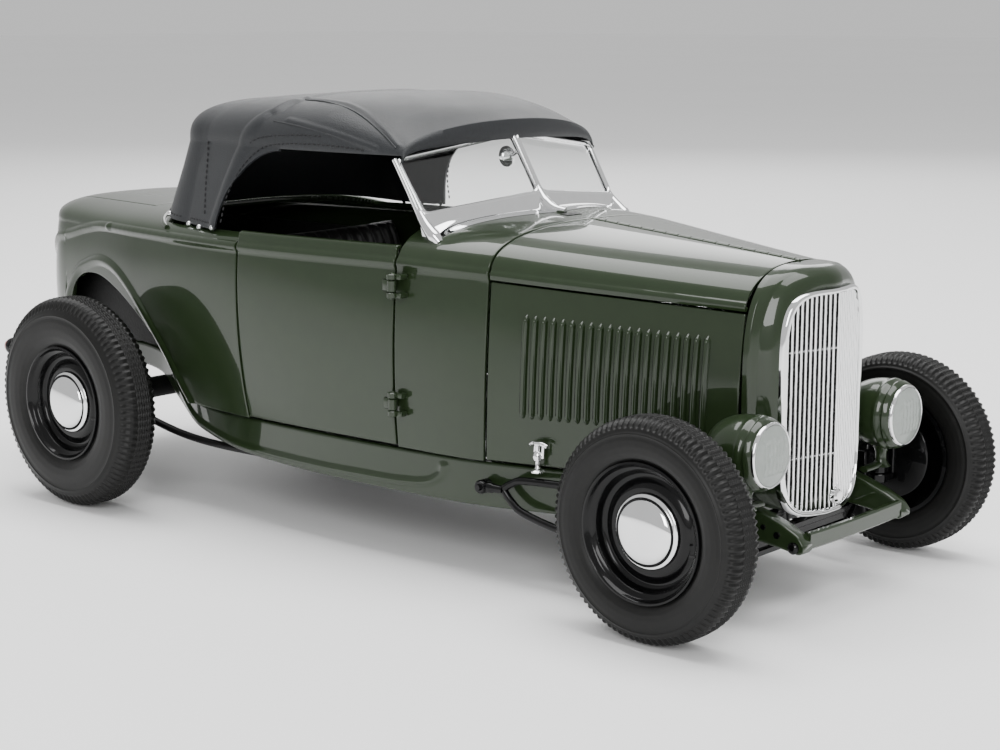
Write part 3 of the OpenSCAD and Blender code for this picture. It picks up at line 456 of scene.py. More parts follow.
AXLE_STEEL = node_material("turned_steel", "axle_steel", (0.5, 0.5, 0.5), 0.3, metal=1.0, grain=900)
CORE = node_material("radiator_core", "chassis_black", (0.006, 0.006, 0.006), 0.6, grain=1500, weave=0.15,
                     bump_grain=1800)
DIAL = node_material("dial_face", "interior_trim", (0.5, 0.5, 0.48), 0.4, grain=2500, spread=0.3)

# ---------- body panels ----------

BELT_BEAD = [[x, -side_y(x, 57.8) + 0.1, 57.8] for x in np.linspace(83, -6, 40)]


def tail_wall(angle, z):
    x = TAIL_X - tail_length(z) * tail_reach(angle)
    return stack(x, tail_share(angle) * side_y(x, z), z)


CORNER_BEAD = [[-6, -side_y(-6, 57.8) + 0.1, 57.8]] + [
    [x, -float(side_y(x, z)), z] for x, z in ((-12, 57.5), (-19, 56.3), (-25, 54.9))
] + [tail_wall(a, z).tolist() for a, z in ((8, 53.8), (17, 52.6), (27, 50.8), (36, 48.2), (43, 44),
                                           (48, 38), (51, 31), (52, 23))]
ARCH_BEAD = [
    [x, -float(side_y(x, z)), z] for x, z in (
        (-29.6, 24), (-29.4, 31), (-27.2, 40), (-22, 46.2), (-17, 48.6), (-10, 50.2), (-3, 49), (3.5, 45.2),
        (9.9, 39), (14.6, 33.4), (17.9, 28), (20.6, 23),
    )
]

WALL_ROWS = 86


def rear_body_grids():
    """Quarters, tail wall and deck as grids that share their edges."""
    deck_x = np.concatenate([np.linspace(TAIL_X, -3, 52)[:-1], np.linspace(-3, 8, 24)[:-1],
                             np.linspace(8, 41.6, 76)])
    angles = np.linspace(0, 180, 181)
    up = np.linspace(0, 1, WALL_ROWS)
    wall = []
    for x in deck_x[::-1]:
        z = mix(quarter_low_z(x), BELT_Z, up)
        wall.append(stack(x, -side_y(x, z), z))
    for a in angles[1:-1]:
        wall.append(tail_wall(a, mix(SILL_Z, BELT_Z, up)))
    for x in deck_x:
        z = mix(quarter_low_z(x), BELT_Z, up)
        wall.append(stack(x, side_y(x, z), z))
    wall = np.array(wall)
    lid_column = (angles[:-1] >= 55) & (angles[:-1] < 125)
    share, reach = tail_share(angles), tail_reach(angles)
    lifts = np.linspace(90, 0, 30)
    top = []
    for lift in lifts[:-1]:
        r = reach * np.sin(np.radians(lift)) ** (2 / DECK_POWER)
        x = TAIL_X - tail_length(BELT_Z) * r
        top.append(stack(x, share * side_y(x, BELT_Z), BELT_Z + dome_height(r, share, DECK_RISE)))
    for x in deck_x:
        top.append(stack(x, share * side_y(x, BELT_Z), BELT_Z + dome_height(0, share, DECK_RISE)))
    top = np.array(top)
    keep_wall = np.ones((len(wall) - 1, WALL_ROWS - 1), bool)
    z_cell = wall[:-1, :-1, 2]
    first_tail = len(deck_x)
    for k, a in enumerate(angles[:-1]):
        if 55 <= a < 125:
            keep_wall[first_tail - 1 + k, z_cell[first_tail - 1 + k] > 40] = False
    row_x = np.concatenate([np.full(len(lifts) - 1, TAIL_X - 1), deck_x])
    keep_top = np.ones((len(top) - 1, len(angles) - 1), bool)
    for i in range(len(top) - 1):
        if row_x[i] < -3.01:
            keep_top[i, lid_column] = False
        if row_x[i] >= 7.9:
            under_top = tail_reach(angles[:-1] + 0.5) > (23 - row_x[i]) / 16
            keep_top[i, under_top & (angles[:-1] >= 27) & (angles[:-1] < 153)] = False
    return (wall, keep_wall), (top, keep_top)


(wall, keep_wall), (deck, keep_deck) = rear_body_grids()
piece("rear_quarters_and_tail", [grid_part(wall, keep_wall), grid_part(deck, keep_deck)], GREEN, "chassis",
      "rear_body", thick=1.0, bevel=0.18,
      beads=[(BELT_BEAD, 1.15, 0.5), (CORNER_BEAD, 1.15, 0.5), (ARCH_BEAD, 1.3, 0.55)], inside=(0, 0, 35))


def moulding_point(angle):
    """Point on the deck just outside the hem of the soft top."""
    share = float(tail_share(angle))
    x = 22 - 18.6 * float(tail_reach(angle))
    return [x, 0.985 * share * float(side_y(x, BELT_Z)), BELT_Z + float(dome_height(0, 0.985 * share,
        DECK_RISE)) + 0.1]


piece("deck_moulding", [tube_part(smooth_path([moulding_point(a) for a in np.linspace(12, 168, 40)]), 0.55,
                                  14)], GREEN, "chassis")


def decklid_grid():
    angles = np.linspace(56.1, 124.1, 69)
    share, reach = tail_share(angles), tail_reach(angles)
    out = [tail_wall(angles, np.full(len(angles), z)) for z in np.linspace(40.6, BELT_Z, 32)[:-1]]
    for lift in np.linspace(90, 0, 30)[:-1]:
        r = reach * np.sin(np.radians(lift)) ** (2 / DECK_POWER)
        x = TAIL_X - tail_length(BELT_Z) * r
        out.append(stack(x, share * side_y(x, BELT_Z), BELT_Z + dome_height(r, share, DECK_RISE)))
    for x in np.linspace(TAIL_X, -3.4, 45):
        out.append(stack(x, share * side_y(x, BELT_Z), BELT_Z + dome_height(0, share, DECK_RISE)))
    return np.array(out)


lid = decklid_grid()
piece("decklid_panel", [grid_part(lid)], GREEN, "decklid", "decklid", thick=1.0, bevel=0.18,
      inside=(0, 0, 35))
handle = [tail_wall(90, 44.0) + [-0.5, 0, 0]]
piece("decklid_handle", [
    lathe_part([(0, 0.4), (0.9, 0.4), (1.0, 0.2), (0.7, -0.3), (0.55, -1.2), (0.9, -1.5), (0.8, -2),
                (0, -2.2)],
               handle[0], (1, 0, 0), 32),
    tube_part(smooth_path([handle[0] + [-1.8, -2.6, 0], handle[0] + [-2, 0, 0.1],
                           handle[0] + [-1.8, 2.6, 0]]), 0.5, 12),
], CHROME, "decklid")


def cowl_grid():
    out = []
    for x in np.linspace(DOOR_X[1] + 0.4, COWL_X[1], 52):
        base = float(hood_bead_z(x))
        z = np.linspace(SILL_Z, base, 70)[:-1]
        side = stack(x, -side_y(x, z), z)
        share = np.sin(np.radians(np.linspace(-90, 90, 121)))
        out.append(np.vstack([side, crown_point(x, share), (side * [1, -1, 1])[::-1]]))
    return np.array(out)


COWL_BEAD = [[x, -side_y(x, z) + 0.1, z] for x, z in ((83, 57.8), (90, 57.6), (97, 57.4), (104, 57.1))]
piece("cowl_panel", [grid_part(cowl_grid())], GREEN, "chassis", "cowl", thick=1.0, bevel=0.2,
      beads=[(COWL_BEAD, 1.1, 0.45)], inside=(92, 0, 40))
piece("cowl_vent", [grid_part(np.array([
    [crown_point(x, y / float(side_y(x, hood_bead_z(x)))) + [0, 0, 0.12] for y in np.linspace(-2.2, 2.2, 9)]
    for x in np.linspace(97.6, 99.6, 7)
]))], BLACK_SATIN, "chassis", thick=0.3, bevel=0.08, inside=(98, 0, 40))


def door_grid():
    roll = 1.0
    out = []
    for x in np.linspace(DOOR_X[0] + 0.05, DOOR_X[1] - 0.05, 96):
        z = np.concatenate([np.linspace(SILL_Z + 0.35, 50, 40), np.linspace(50, 60, 30)[1:]])
        side = stack(x, -side_y(x, z), z)
        top_y = -float(side_y(x, 60.0))
        a = np.radians(np.linspace(0, 120, 9)[1:])
        arc = stack(x, top_y + roll * (1 - np.cos(a)), 60 + roll * np.sin(a))
        out.append(np.vstack([side, arc]))
    return np.array(out)


for tag, flip in (("right", lambda p: p), ("left", mirrored)):
    body = "door_" + tag
    piece("door_skin_" + tag, [flip(grid_part(door_grid()))], GREEN, body, "door_" + tag, thick=0.8,
          bevel=0.16,
          beads=[(BELT_BEAD, 1.15, 0.5)], inside=(62, 0, 40))
    side = 1 if tag == "left" else -1
    pleats = np.array([
        stack(x, -side_y(x, np.linspace(24.5, 58.5, 40)) + 1.15, np.linspace(24.5, 58.5, 40))
        for x in np.linspace(44, 81, 150)
    ])
    pleats[:, :, 1] += 0.22 * np.abs(np.sin(np.pi * (pleats[:, :, 0] - 44) / 3.7))
    piece("door_card_" + tag, [flip(grid_part(pleats))], VINYL, body, thick=0.25, inside=(62, 0, 40))
    barrels, leaves = [], []
    for z in (31.2, 53.7):
        at = np.array([84.3, -35.3, z])
        barrels.append(lathe_part([(0, -1.1), (0.75, -1.1), (0.9, -0.95), (0.9, 0.95), (0.75, 1.1),
                                   (0, 1.1)], at, (0, 0, 1), 40))
        reach = 35.3 - float(side_y(82, z))
        barrels.append(block_part(at + [-2.6, 0.0, -1.1], at + [-0.3, 0.6, 1.1], 0.25))
        barrels.append(block_part(at + [-2.6, 0.3, -1.0], at + [-1.3, reach + 0.3, 1.0], 0.25))
        for end in (-1.75, 1.75):
            leaves.append(lathe_part([(0, -0.55), (0.85, -0.55), (1, -0.42), (1, 0.42), (0.85, 0.55),
                                      (0, 0.55)],
                                     at + [0, 0, end], (0, 0, 1), 40))
            leaves.append(block_part(at + [0.2, 0.0, end - 0.5], at + [2.2, 0.6, end + 0.5], 0.2))
            leaves.append(block_part(at + [1.2, 0.3, end - 0.5], at + [2.2, reach + 0.2, end + 0.5], 0.2))
        leaves.append(lathe_part([(0, -2.5), (0.3, -2.5), (0.45, -2.3), (0.45, 2.3), (0.3, 2.5), (0, 2.5)],
                                 at, (0, 0, 1), 24))
    piece("door_hinge_" + tag, [flip(p) for p in barrels], GREEN, body)
    piece("cowl_hinge_" + tag, [flip(p) for p in leaves], GREEN, "chassis",
          "door_hinge_pins" if tag == "right" else ())


# ---------- hood ----------

def hood_top_grid():
    out = []
    for x in np.linspace(HOOD_X[0] + 0.05, HOOD_X[1] - 0.05, 110):
        inner = math.degrees(math.asin(0.75 / float(side_y(x, hood_bead_z(x)))))
        share = np.sin(np.radians(np.linspace(-90, -inner, 80)))
        low = crown_point(x, np.array([-1.0]))
        under = low + [[0, 0.5, -0.15]]
        out.append(np.vstack([under, crown_point(x, share)]))
    return np.array(out)


HOOD_BEAD = [[x, -float(side_y(x, hood_bead_z(x))), float(hood_bead_z(x)) + 0.75] for x in np.linspace(103,
    152, 20)]


def hood_side_grid():
    out = []
    for x in np.linspace(HOOD_X[0] + 0.05, HOOD_X[1] - 0.05, 110):
        z = mix(SILL_Z + 0.3, float(hood_bead_z(x)) - 0.5, np.linspace(0, 1, 72))
        out.append(stack(x, -side_y(x, z) + 0.12, z))
    return np.array(out)


def louvre(x, low, high):
    """Pressed louvre: a rounded rib, fuller at its top, steeper on the rear side."""
    rings = []
    for z, size in zip(
        np.concatenate([[low], low + 0.9 * np.linspace(0.1, 1, 6), np.linspace(low + 1.2, high - 1.4, 30),
                        high - 1.2 * np.cos(np.linspace(0.4, np.pi / 2, 8))]),
        np.concatenate([[0.03], np.sqrt(np.linspace(0.1, 1, 6)) * 0.9, np.linspace(0.92, 1, 30),
                        np.sqrt(np.clip(1 - np.sin(np.linspace(0.0, np.pi / 2 - 0.02, 8)) ** 2, 0, 1))]),
    ):
        y = -float(side_y(x, z)) + 0.25
        a = np.linspace(0, np.pi, 13)
        half = 0.52 * max(size, 0.03)
        tall = 1.0 * max(size, 0.03)
        skew = 0.12 * np.sin(a)
        ring = stack(x + half * np.cos(a) - skew, y - tall * np.sin(a) ** 0.85, z)
        rings.append(ring)
    return loft_part(rings)


for tag, flip in (("right", lambda p: p), ("left", mirrored)):
    piece("hood_top_panel_" + tag, [flip(grid_part(hood_top_grid()))], GREEN, "hood_" + tag,
          "hood_top_" + tag,
          thick=0.8, bevel=0.12, beads=[(HOOD_BEAD, 1.0, 0.4)], inside=(127, 0, 40))
    piece("hood_side_panel_" + tag, [flip(grid_part(hood_side_grid()))], GREEN, "chassis",
          "hood_side_" + tag,
          thick=0.8, bevel=0.16, inside=(127, 0, 40))
    ribs = [louvre(x, 31.2, mix(50.4, 48.9, (x - 111.6) / 33)) for x in np.linspace(111.6, 144.6, 20)]
    piece("hood_louvres_" + tag, [flip(p) for p in ribs], GREEN, "chassis", sharp=60, inside=(127, 0, 40))
    # Painted shade: black strips along the rear edge of each louvre stand in for the dark openings behind the
    # louvres, since the side panel itself is not cut through.
    shade_strips = []
    for x in np.linspace(111.6, 144.6, 20):
        z = np.linspace(32.4, 48.2, 20)
        shade_strips.append(grid_part(np.array([stack(x - 0.66, -side_y(x - 0.66, z) - 0.01, z),
                                         stack(x - 0.5, -side_y(x - 0.5, z) - 0.3, z)])))
    piece("louvre_painted_shade_" + tag, [flip(p) for p in shade_strips], BLACK_SATIN, "chassis", thick=0.06)
    s = -1 if tag == "right" else 1
    at = np.array([115.8, -30.2, 22.1])
    latch = [
        lathe_part([(0, 0), (1.35, 0), (1.4, 0.25), (1.1, 0.5), (0.6, 0.7), (0.42, 1.0), (0.42, 2.0),
                    (0.75, 2.2), (0.95, 2.8),
                    (0.75, 3.6), (0.45, 3.9), (0.42, 4.8), (0.8, 5.0), (0.95, 5.35), (0.75, 5.7), (0, 5.8)],
                    at, (0, 0, 1), 36),
        tube_part(smooth_path([at + [-1.9, 0.3, 4.9], at + [-0.9, 0, 5.3], at + [0.9, 0, 5.3],
                               at + [1.9, 0.3, 4.9]], 0.2), 0.42, 12),
        tube_part([at + [-0.9, 0.2, 2.6], at + [-0.9, 0.4, 4.9]], 0.25, 10),
        tube_part([at + [0.9, 0.2, 2.6], at + [0.9, 0.4, 4.9]], 0.25, 10),
    ]
    piece("hood_latch_" + tag, [flip(p) for p in latch], CHROME, "chassis",
          "hood_latches" if tag == "right" else ())

rod_line = [np.array([x, 0, float(hood_crown_z(x)) - 0.3]) for x in np.linspace(103.9, 150.9, 8)]
knuckles = []
for k in range(16):
    x = mix(104.6, 150.2, (k + 0.5) / 16)
    z = float(hood_crown_z(x)) - 0.3
    knuckles.append(lathe_part([(0, -1.25), (0.5, -1.25), (0.62, -1.15), (0.62, 1.15), (0.5, 1.25),
                                (0, 1.25)],
                               [x, 0, z], (46.6, 0, -4.1), 20))
piece("hood_hinge", [tube_part(rod_line, 0.5, 20), *knuckles], GREEN, "chassis", "hood_hinge_rod")

# ---------- nose ----------

GRILLE_Z, GRILLE_LEAN, GRILLE_POWER = 36.4, 0.27, 4.8


def outline(half_w, half_h, count, p=3.3):
    a = (np.arange(count) + 0.5) * 2 * np.pi / count
    return half_w * power(np.cos(a), 2 / p), half_h * power(np.sin(a), 2 / p)


def shell_ring(x, half_w, half_h, z, count=200):
    y, up = outline(half_w, half_h, count)
    return stack(x - GRILLE_LEAN * np.abs(y) * np.clip((x - 152) / 5, 0, 1), y, z + up)


shell_profile = smooth_path([
    (151, 17.4, 22, 38.6), (153.5, 16.75, 22, 38.55), (156, 15.95, 21.9, 38.5), (157.6, 15.1, 21.6, 38.3),
    (158.7, 14.2, 21.1, 37.9), (159.2, 13.3, 20.6, 37.3), (159.2, 12.7, 20.2, 36.8),
    (158.7, 12.35, 20.0, 36.5),
    (157.4, 12.3, 19.95, 36.4),
], 0.3)
shell_rings = [shell_ring(*row) for row in shell_profile]
shell_rings += [shell_ring(156.6, 12.3, 19.9, GRILLE_Z), shell_ring(156.3, 14.4, 20.6, 38.4),
                shell_ring(154, 15.4, 20.8, 38.5),
                shell_ring(151.05, 16.3, 20.9, 38.6)]
shell_grid = np.array(shell_rings + [shell_rings[0]])
piece("radiator_shell", [grid_part(shell_grid, wrap=True)], GREEN, "chassis", "grille_shell", sharp=50)


def grille_x(y):
    """The grille is bent to a V: its middle stands further forward than its sides."""
    return 160.0 - GRILLE_LEAN * np.abs(y)


def grille_ring(half_w, half_h, back):
    y, up = outline(half_w, half_h, 240, GRILLE_POWER)
    return stack(grille_x(y) - 0.35 - back, y, GRILLE_Z + up)


surround = np.array([
    grille_ring(13.1, 20.2, 1.0), grille_ring(13.1, 20.2, 0.1), grille_ring(12.95, 20.05, -0.25),
    grille_ring(12.6, 19.75, -0.42), grille_ring(12.2, 19.4, -0.3), grille_ring(12.0, 19.2, 0.1),
    grille_ring(12.0, 19.2, 1.6),
    grille_ring(13.1, 20.2, 1.0),
])
bars = []
for i in range(-11, 12):
    y = i * 1.04
    half = 19.4 * max(0.0, 1 - abs(y / 12.2) ** GRILLE_POWER) ** (1 / GRILLE_POWER)
    zs = np.linspace(GRILLE_Z - half, GRILLE_Z + half, 24)
    line = stack(grille_x(y) - 0.75, y, zs)
    wobble = 0.03 * np.sin(zs * 1.7 + i * 2.1)
    line[:, 1] += wobble
    bars.append(tube_part(line, 0.24, 12, flat=1.15, up=(1, 0, 0)))
ties = []
for z in (-9.5, 9.5):
    ties.append(tube_part([[grille_x(y) - 1.35, y, GRILLE_Z + z] for y in (-11.9, -6, 0.0)], 0.28, 8))
    ties.append(tube_part([[grille_x(y) - 1.35, y, GRILLE_Z + z] for y in (0.0, 6, 11.9)], 0.28, 8))
piece("grille_bars", [grid_part(surround, wrap=True), *bars, *ties], CHROME, "chassis", "grille_insert",
      sharp=55)
piece("crank_hole_cover", [lathe_part([(0, 0.8), (0.9, 0.7), (1.3, 0.3), (1.4, -0.4), (0, -0.5)],
                                      [159.9, 0, 19.3], (1, 0, 0.1), 32)], CHROME, "chassis")

core = []
for z in np.arange(21.2, 54.8, 0.8):
    core.append(block_part((152.0, -9.9, z), (154.6, 9.9, z + 0.35), 0.1))
core.append(block_part((151.6, -10.2, 53.4), (155.3, 10.2, 55.2), 0.6))
core.append(block_part((151.6, -10.2, 21), (155.3, 10.2, 22.6), 0.6))
for y in (-10.2, 9.6):
    core.append(block_part((151.7, y, 21.4), (155.2, y + 0.6, 54.6), 0.2))
core.append(block_part((152.3, -9.8, 21.4), (153.9, 9.8, 54.4), 0.2))
core.append(lathe_part([(0, 0), (2.6, 0), (2.6, 1.2), (2.2, 1.5), (0, 1.5)], [153.2, 0, 54.9], (0, 0, 1),
                       40))
piece("radiator_core", core, CORE, "chassis", "radiator")

LAMP = np.array([160.9, -22.3, 30.5])
for tag, flip in (("right", lambda p: p), ("left", mirrored)):
    shell = [(5.3, -0.9), (5.75, -0.6), (5.95, -0.75), (6.25, -1.3), (6.42, -1.7), (6.2, -1.95),
             (6.22, -2.3), (6.55, -2.7),
             (6.72, -3.2), (6.6, -3.6), (6.5, -3.9), (6.52, -4.4)]
    shell += [(6.52 * math.cos(a) ** 0.8, -4.4 - 8.1 * math.sin(a)) for a in np.linspace(0.12, np.pi / 2,
        26)]
    stand = [
        lathe_part([(0.0, 0), (1.9, 0), (1.5, -0.8), (1.1, -1.6), (1.05, -3.2), (1.5, -3.9), (1.9, -4.3),
                    (0, -4.3)],
                   LAMP + [-5.2, 0, -5.9], (0, 0, 1), 36),
        tube_part(smooth_path([LAMP + [-5.2, 0, -9.6], LAMP + [-5.4, 2.4, -10.0],
                               LAMP + [-5.8, 5.2, -10.2]]), 1.0, 16, flat=0.6),
    ]
    piece("headlight_shell_" + tag, [flip(lathe_part(shell, LAMP, (1, 0, 0), 96)),
                                     *[flip(p) for p in stand]], GREEN, "chassis",
          "headlight_bucket_" + tag, sharp=50)
    rim = [(5.1, -0.5), (5.2, -0.15), (5.4, 0.02), (5.65, -0.1), (5.78, -0.45), (5.7, -0.8), (5.3, -0.9),
           (5.1, -0.8), (5.1, -0.5)]
    piece("headlight_rim_" + tag, [flip(lathe_part(rim, LAMP, (1, 0, 0), 96))], CHROME, "chassis", sharp=60)
    bowl = [(5.15, -0.6)] + [(5.1 * math.cos(a), -0.6 - 3.4 * math.sin(a)) for a in np.linspace(0.1,
        np.pi / 2, 14)]
    piece("headlight_bowl_" + tag, [flip(lathe_part(bowl, LAMP, (1, 0, 0), 64))], CHROME, "chassis",
          thick=0.15)
    r = np.linspace(0, 5.25, 46)[:, None]
    a = (np.arange(160) * 2 * np.pi / 160)[None]
    y, z = r * np.cos(a), r * np.sin(a)
    dome = 0.15 + 0.85 * np.sqrt(np.clip(1 - (r / 5.3) ** 2, 0, 1)) + 0 * a
    field = np.clip((3.4 - np.abs(y)) / 0.4, 0, 1) * np.clip((3.2 - np.abs(z)) / 0.4, 0, 1)
    ribs = 0.16 * np.abs(np.sin(np.pi * y / 1.15)) + 0.12 * np.abs(np.sin(np.pi * (z + 0.35 * np.sin(y * 1.6)) / 2.3))
    front = stack(LAMP[0] - 0.35 + dome + field * ribs, LAMP[1] + y, LAMP[2] + z)
    piece("headlight_lens_face_" + tag, [flip(grid_part(front, wrap=True))], LENS, "chassis",
          "headlight_lens_" + tag, thick=0.35,
          inside=(150, (-22.3 if tag == "right" else 22.3), 30.5), sharp=80)

# ---------- windshield ----------

PANE = [np.array(p, float) for p in ([83.4, -0.9, 79.9], [90.3, -0.9, 69.2], [85.6, -27.3, 66.7],
                                     [79.4, -28, 76.1])]


def rounded_loop(corners, radius, steps=7):
    out = []
    n = len(corners)
    for i, c in enumerate(corners):
        a, b = corners[i - 1], corners[(i + 1) % n]
        start, end = c + radius * basis(a - c)[0], c + radius * basis(b - c)[0]
        for t in np.linspace(0, 1, steps):
            out.append((1 - t) ** 2 * start + 2 * t * (1 - t) * c + t**2 * end)
    return np.array(out)


middle = sum(PANE) / 4
pane_normal = basis(np.cross(PANE[0] - PANE[2], PANE[1] - PANE[3]))[0]
frame_corners = [PANE[0] + [0, 0.6, 0.45], PANE[1] + [0.1, 0.6, -0.2], PANE[2] + [0.1, -0.9, -0.3],
                 PANE[3] + [0, -0.75, 0.35]]
loops = []
for flip in (lambda p: p, mirrored):
    loops.append(flip(tube_part(rounded_loop(frame_corners, 1.7), 0.55, 20, closed=True, flat=1.45,
                                up=pane_normal)))
    glass_corners = [middle + 1.0 * (p - middle) for p in PANE]
    ring = rounded_loop(glass_corners, 1.5)
    piece("windshield_pane_" + ("right" if flip is not mirrored else "left"),
          [flip(loft_part([ring + 0.17 * pane_normal, ring - 0.17 * pane_normal]))], GLASS, "chassis",
          "windshield_glass" if flip is not mirrored else (), bevel=0.08)
base = []
for s in np.linspace(-1, 1, 61):
    k = abs(s)
    y = -28.7 * s
    top = np.array([mix(90.7, 85.9, k), y, mix(68.9, 66.2, k)])
    drop = 0.05
    foot_x = mix(95.4, 90.2, k**1.3)
    foot = np.array([foot_x, y, cowl_z(foot_x, y) + drop])
    back = np.array([foot_x - 4.2, y, cowl_z(foot_x - 4.2, y) + drop])
    ring = []
    for t in np.linspace(0, 1, 10):
        hollow = 1.0 * math.sin(math.pi * t)
        ring.append(mix(foot, top + [0.75, 0, 0], t) - [hollow * 0.8, 0, hollow * 0.7])
    ring.append(top + [0.35, 0, 0.5])
    ring.append(top + [-0.35, 0, 0.5])
    for t in np.linspace(0, 1, 8):
        ring.append(mix(top - [0.75, 0, 0], back, t))
    base.append(np.array(ring)[::-1])
post_line = smooth_path([[83.3, 0, 80.3], [87, 0, 74.5], [90.3, 0, 69.3], [92.2, 0, 67.2], [94.4, 0, 66.2],
                         [97.2, 0, 65.95]], 0.4)
post = tube_part(post_line, np.interp(np.linspace(0, 1, len(post_line)), [0, 0.55, 0.75, 1],
                                      [0.75, 0.8, 1.25, 0.55]), 20)
uprights = []
for side in (-1, 1):
    line = smooth_path([[79.2, side * 28.9, 76.6], [82.2, side * 28.6, 71.6], [85.4, side * 28.5, 66.4],
                        [88.1, side * 28.75, 63.6],
                        [90.6, side * 28.8, 61.6]], 0.4)
    uprights.append(tube_part(line, np.interp(np.linspace(0, 1, len(line)), [0, 0.6, 0.9, 1],
                                              [0.6, 0.75, 1.35, 0.8]), 20, flat=1.0))
piece("windshield_chrome", [*loops, loft_part(base), post, *uprights], CHROME, "chassis",
      "windshield_frame", sharp=45)
piece("inside_mirror", [
    lathe_part([(0, 0.1), (1.6, 0.1), (2.05, 0.3), (2.1, 0.7), (1.7, 1.3), (0.9, 1.8), (0.35, 2.1),
                (0, 2.15)], [81.3, 0, 75.6],
               (1, 0, 0.12), 40),
    tube_part(smooth_path([[83, 0, 75.9], [84, 0, 76.3], [84.9, 0, 77.2]], 0.3), 0.32, 12),
], CHROME, "chassis", "rear_view_mirror", sharp=50)

# ---------- soft top ----------

TOP_TAIL_X, RIM_Z = 22.0, 77.3
RISE_X, RISE = [-10, 22, 28, 43, 55, 66, 76, 84], [7.5, 8.6, 9.3, 10.1, 10.8, 10.7, 8.9, 5.9]
CREASE_Z, CREASE_X = [58, 67.3, 71.4, 75.6, 79.6, 83.1, 86], [31.8, 34.3, 35.7, 37.4, 39.3, 41.6, 44.2]


def crease_inset(x, z):
    """The rear quarter panel turns in behind the crease that runs down from the rear bow."""
    d = np.clip(np.interp(z, CREASE_Z, CREASE_X) - x, 0, 14)
    return 0.13 * d * d / (d + 1.2)


def top_y(x, z):
    rim = 30.6 - 0.0018 * (x - 50) ** 2
    return mix(side_y(x, BELT_Z) - 1.3, rim, (z - 60) / (RIM_Z - 60)) - crease_inset(x, z)


def top_tail(z):
    return mix(18, 12, (z - 60) / (RIM_Z - 60))


def hem_z(x, y):
    share = np.minimum(1, np.abs(y) / side_y(x, BELT_Z))
    return BELT_Z + dome_height(0, share, DECK_RISE) + 0.35


def top_wall(angle, up):
    share, reach = tail_share(angle), tail_reach(angle)
    x0 = TOP_TAIL_X - top_tail(60.0) * reach
    z = mix(hem_z(x0, share * (top_y(x0, 60.0) - 1.1)), RIM_Z, up)
    x = TOP_TAIL_X - top_tail(z) * reach
    return stack(x, share * top_y(np.maximum(x, TOP_TAIL_X) + 0 * z, z), z)


def top_roof(x, share, depth=0.0):
    forward = np.maximum(0, (x - 60) / 24)
    p = mix(DECK_POWER, 2.1, forward)
    rise = curve(RISE_X, RISE, x) - depth
    z = RIM_Z + rise * np.maximum(0, 1 - np.abs(share) ** p) ** (1 / p)
    sag = 0.3 * np.sin(np.pi * np.clip((x - 44) / 36, 0, 1)) * (1 - share**2)
    return stack(x - 3.4 * forward * share**2, share * top_y(x, RIM_Z), z - sag)


def opening_low_z(x):
    t = np.clip((49.0 - x) / 15.5, 0, 1)
    return mix(hem_z(x, top_y(x, 60.0) - 1.1), RIM_Z - 0.4, np.maximum(0, 1 - t**1.9) ** (1 / 1.9))


def top_side(x, z):
    """Point of the right side of the top, wherever it stands over x at height z."""
    x, z = float(x), float(z)
    if z <= RIM_Z:
        return np.array([x, -float(top_y(x, z)), z])
    rise, forward = float(curve(RISE_X, RISE, x)), max(0.0, (x - 60) / 24)
    p = mix(DECK_POWER, 2.1, forward)
    share = -(max(0.0, 1 - min(1, (z - RIM_Z) / rise) ** p)) ** (1 / p)
    return top_roof(np.float64(x), np.float64(share))


def soft_top_parts():
    up = np.linspace(0, 1, 34)
    angles = np.linspace(0, 180, 145)
    share, reach = tail_share(angles), tail_reach(angles)
    rows = [top_wall(angles, u) for u in up[:-1]]
    for lift in np.linspace(90, 0, 30)[:-1]:
        r = reach * np.sin(np.radians(lift)) ** (2 / DECK_POWER)
        x = TOP_TAIL_X - top_tail(RIM_Z) * r
        rows.append(stack(x, share * top_y(np.full(len(x), TOP_TAIL_X), RIM_Z),
                          RIM_Z + dome_height(r, share, float(curve(RISE_X, RISE, TOP_TAIL_X)))))
    side_x = np.linspace(TOP_TAIL_X, 49, 61)
    for x in np.concatenate([side_x, np.linspace(49, 84, 76)[1:]]):
        rows.append(top_roof(np.full(len(share), x), share))
    front = rows[-1]
    for k in (0.35, 0.7, 1.0):
        rows.append(front + stack(0.5 * math.sin(k * 2.2), 0 * share,
                                  -k * (1.4 + 2.4 * (1 - np.abs(share) ** 3))))
    side = []
    for x in side_x:
        z = mix(opening_low_z(x), RIM_Z, up)
        side.append(stack(x, -top_y(x, z), z))
    side = grid_part(np.array(side))
    return [grid_part(np.array(rows)), side, mirrored(side)]


RIDGE = [top_side(x, z).tolist() for x, z in ((44.4, 85.9), (41.6, 83.1), (39.3, 79.6), (37.4, 75.6),
                                              (35.7, 71.4), (34.3, 67.3), (32.6, 61.5))]
BOW = [top_roof(np.float64(44.5), np.float64(s)).tolist() for s in np.linspace(-0.86, 0, 12)]
SEAM_SIDE = [top_side(x, z).tolist() for x, z in ((50, 83), (58, 81.9), (66, 80.6), (77, 78.4))]
SEAM_ROOF = [top_roof(np.float64(x), np.float64(s)).tolist() for x,
             s in ((45, -0.62), (55, -0.7), (66, -0.8), (76, -0.9), (82, -0.97))]
top = piece("soft_top_cloth", soft_top_parts(), CLOTH, "soft_top", "soft_top", thick=0.55,
            inside=(45, 0, 60), bevel=0.12,
            beads=[(RIDGE, 2.0, 0.45), (BOW, 1.8, 0.35), (SEAM_SIDE, 0.8, 0.22), (SEAM_ROOF, 0.7, 0.2)],
            sharp=60, even=False)


def stitches(line, pitch=1.25, length=0.8):
    """Thread along a line of points, as short raised stitches."""
    line = smooth_path(line, 0.1)
    along = np.concatenate([[0], np.cumsum(np.linalg.norm(np.diff(line, axis=0), axis=1))])
    out = []
    for s in np.arange(0.3, along[-1] - length, pitch):
        ends = [[np.interp(t, along, line[:, k]) for k in range(3)] for t in (s, s + length / 2,
            s + length)]
        out.append(tube_part(np.array(ends), [0.08, 0.2, 0.08], 8))
    return out


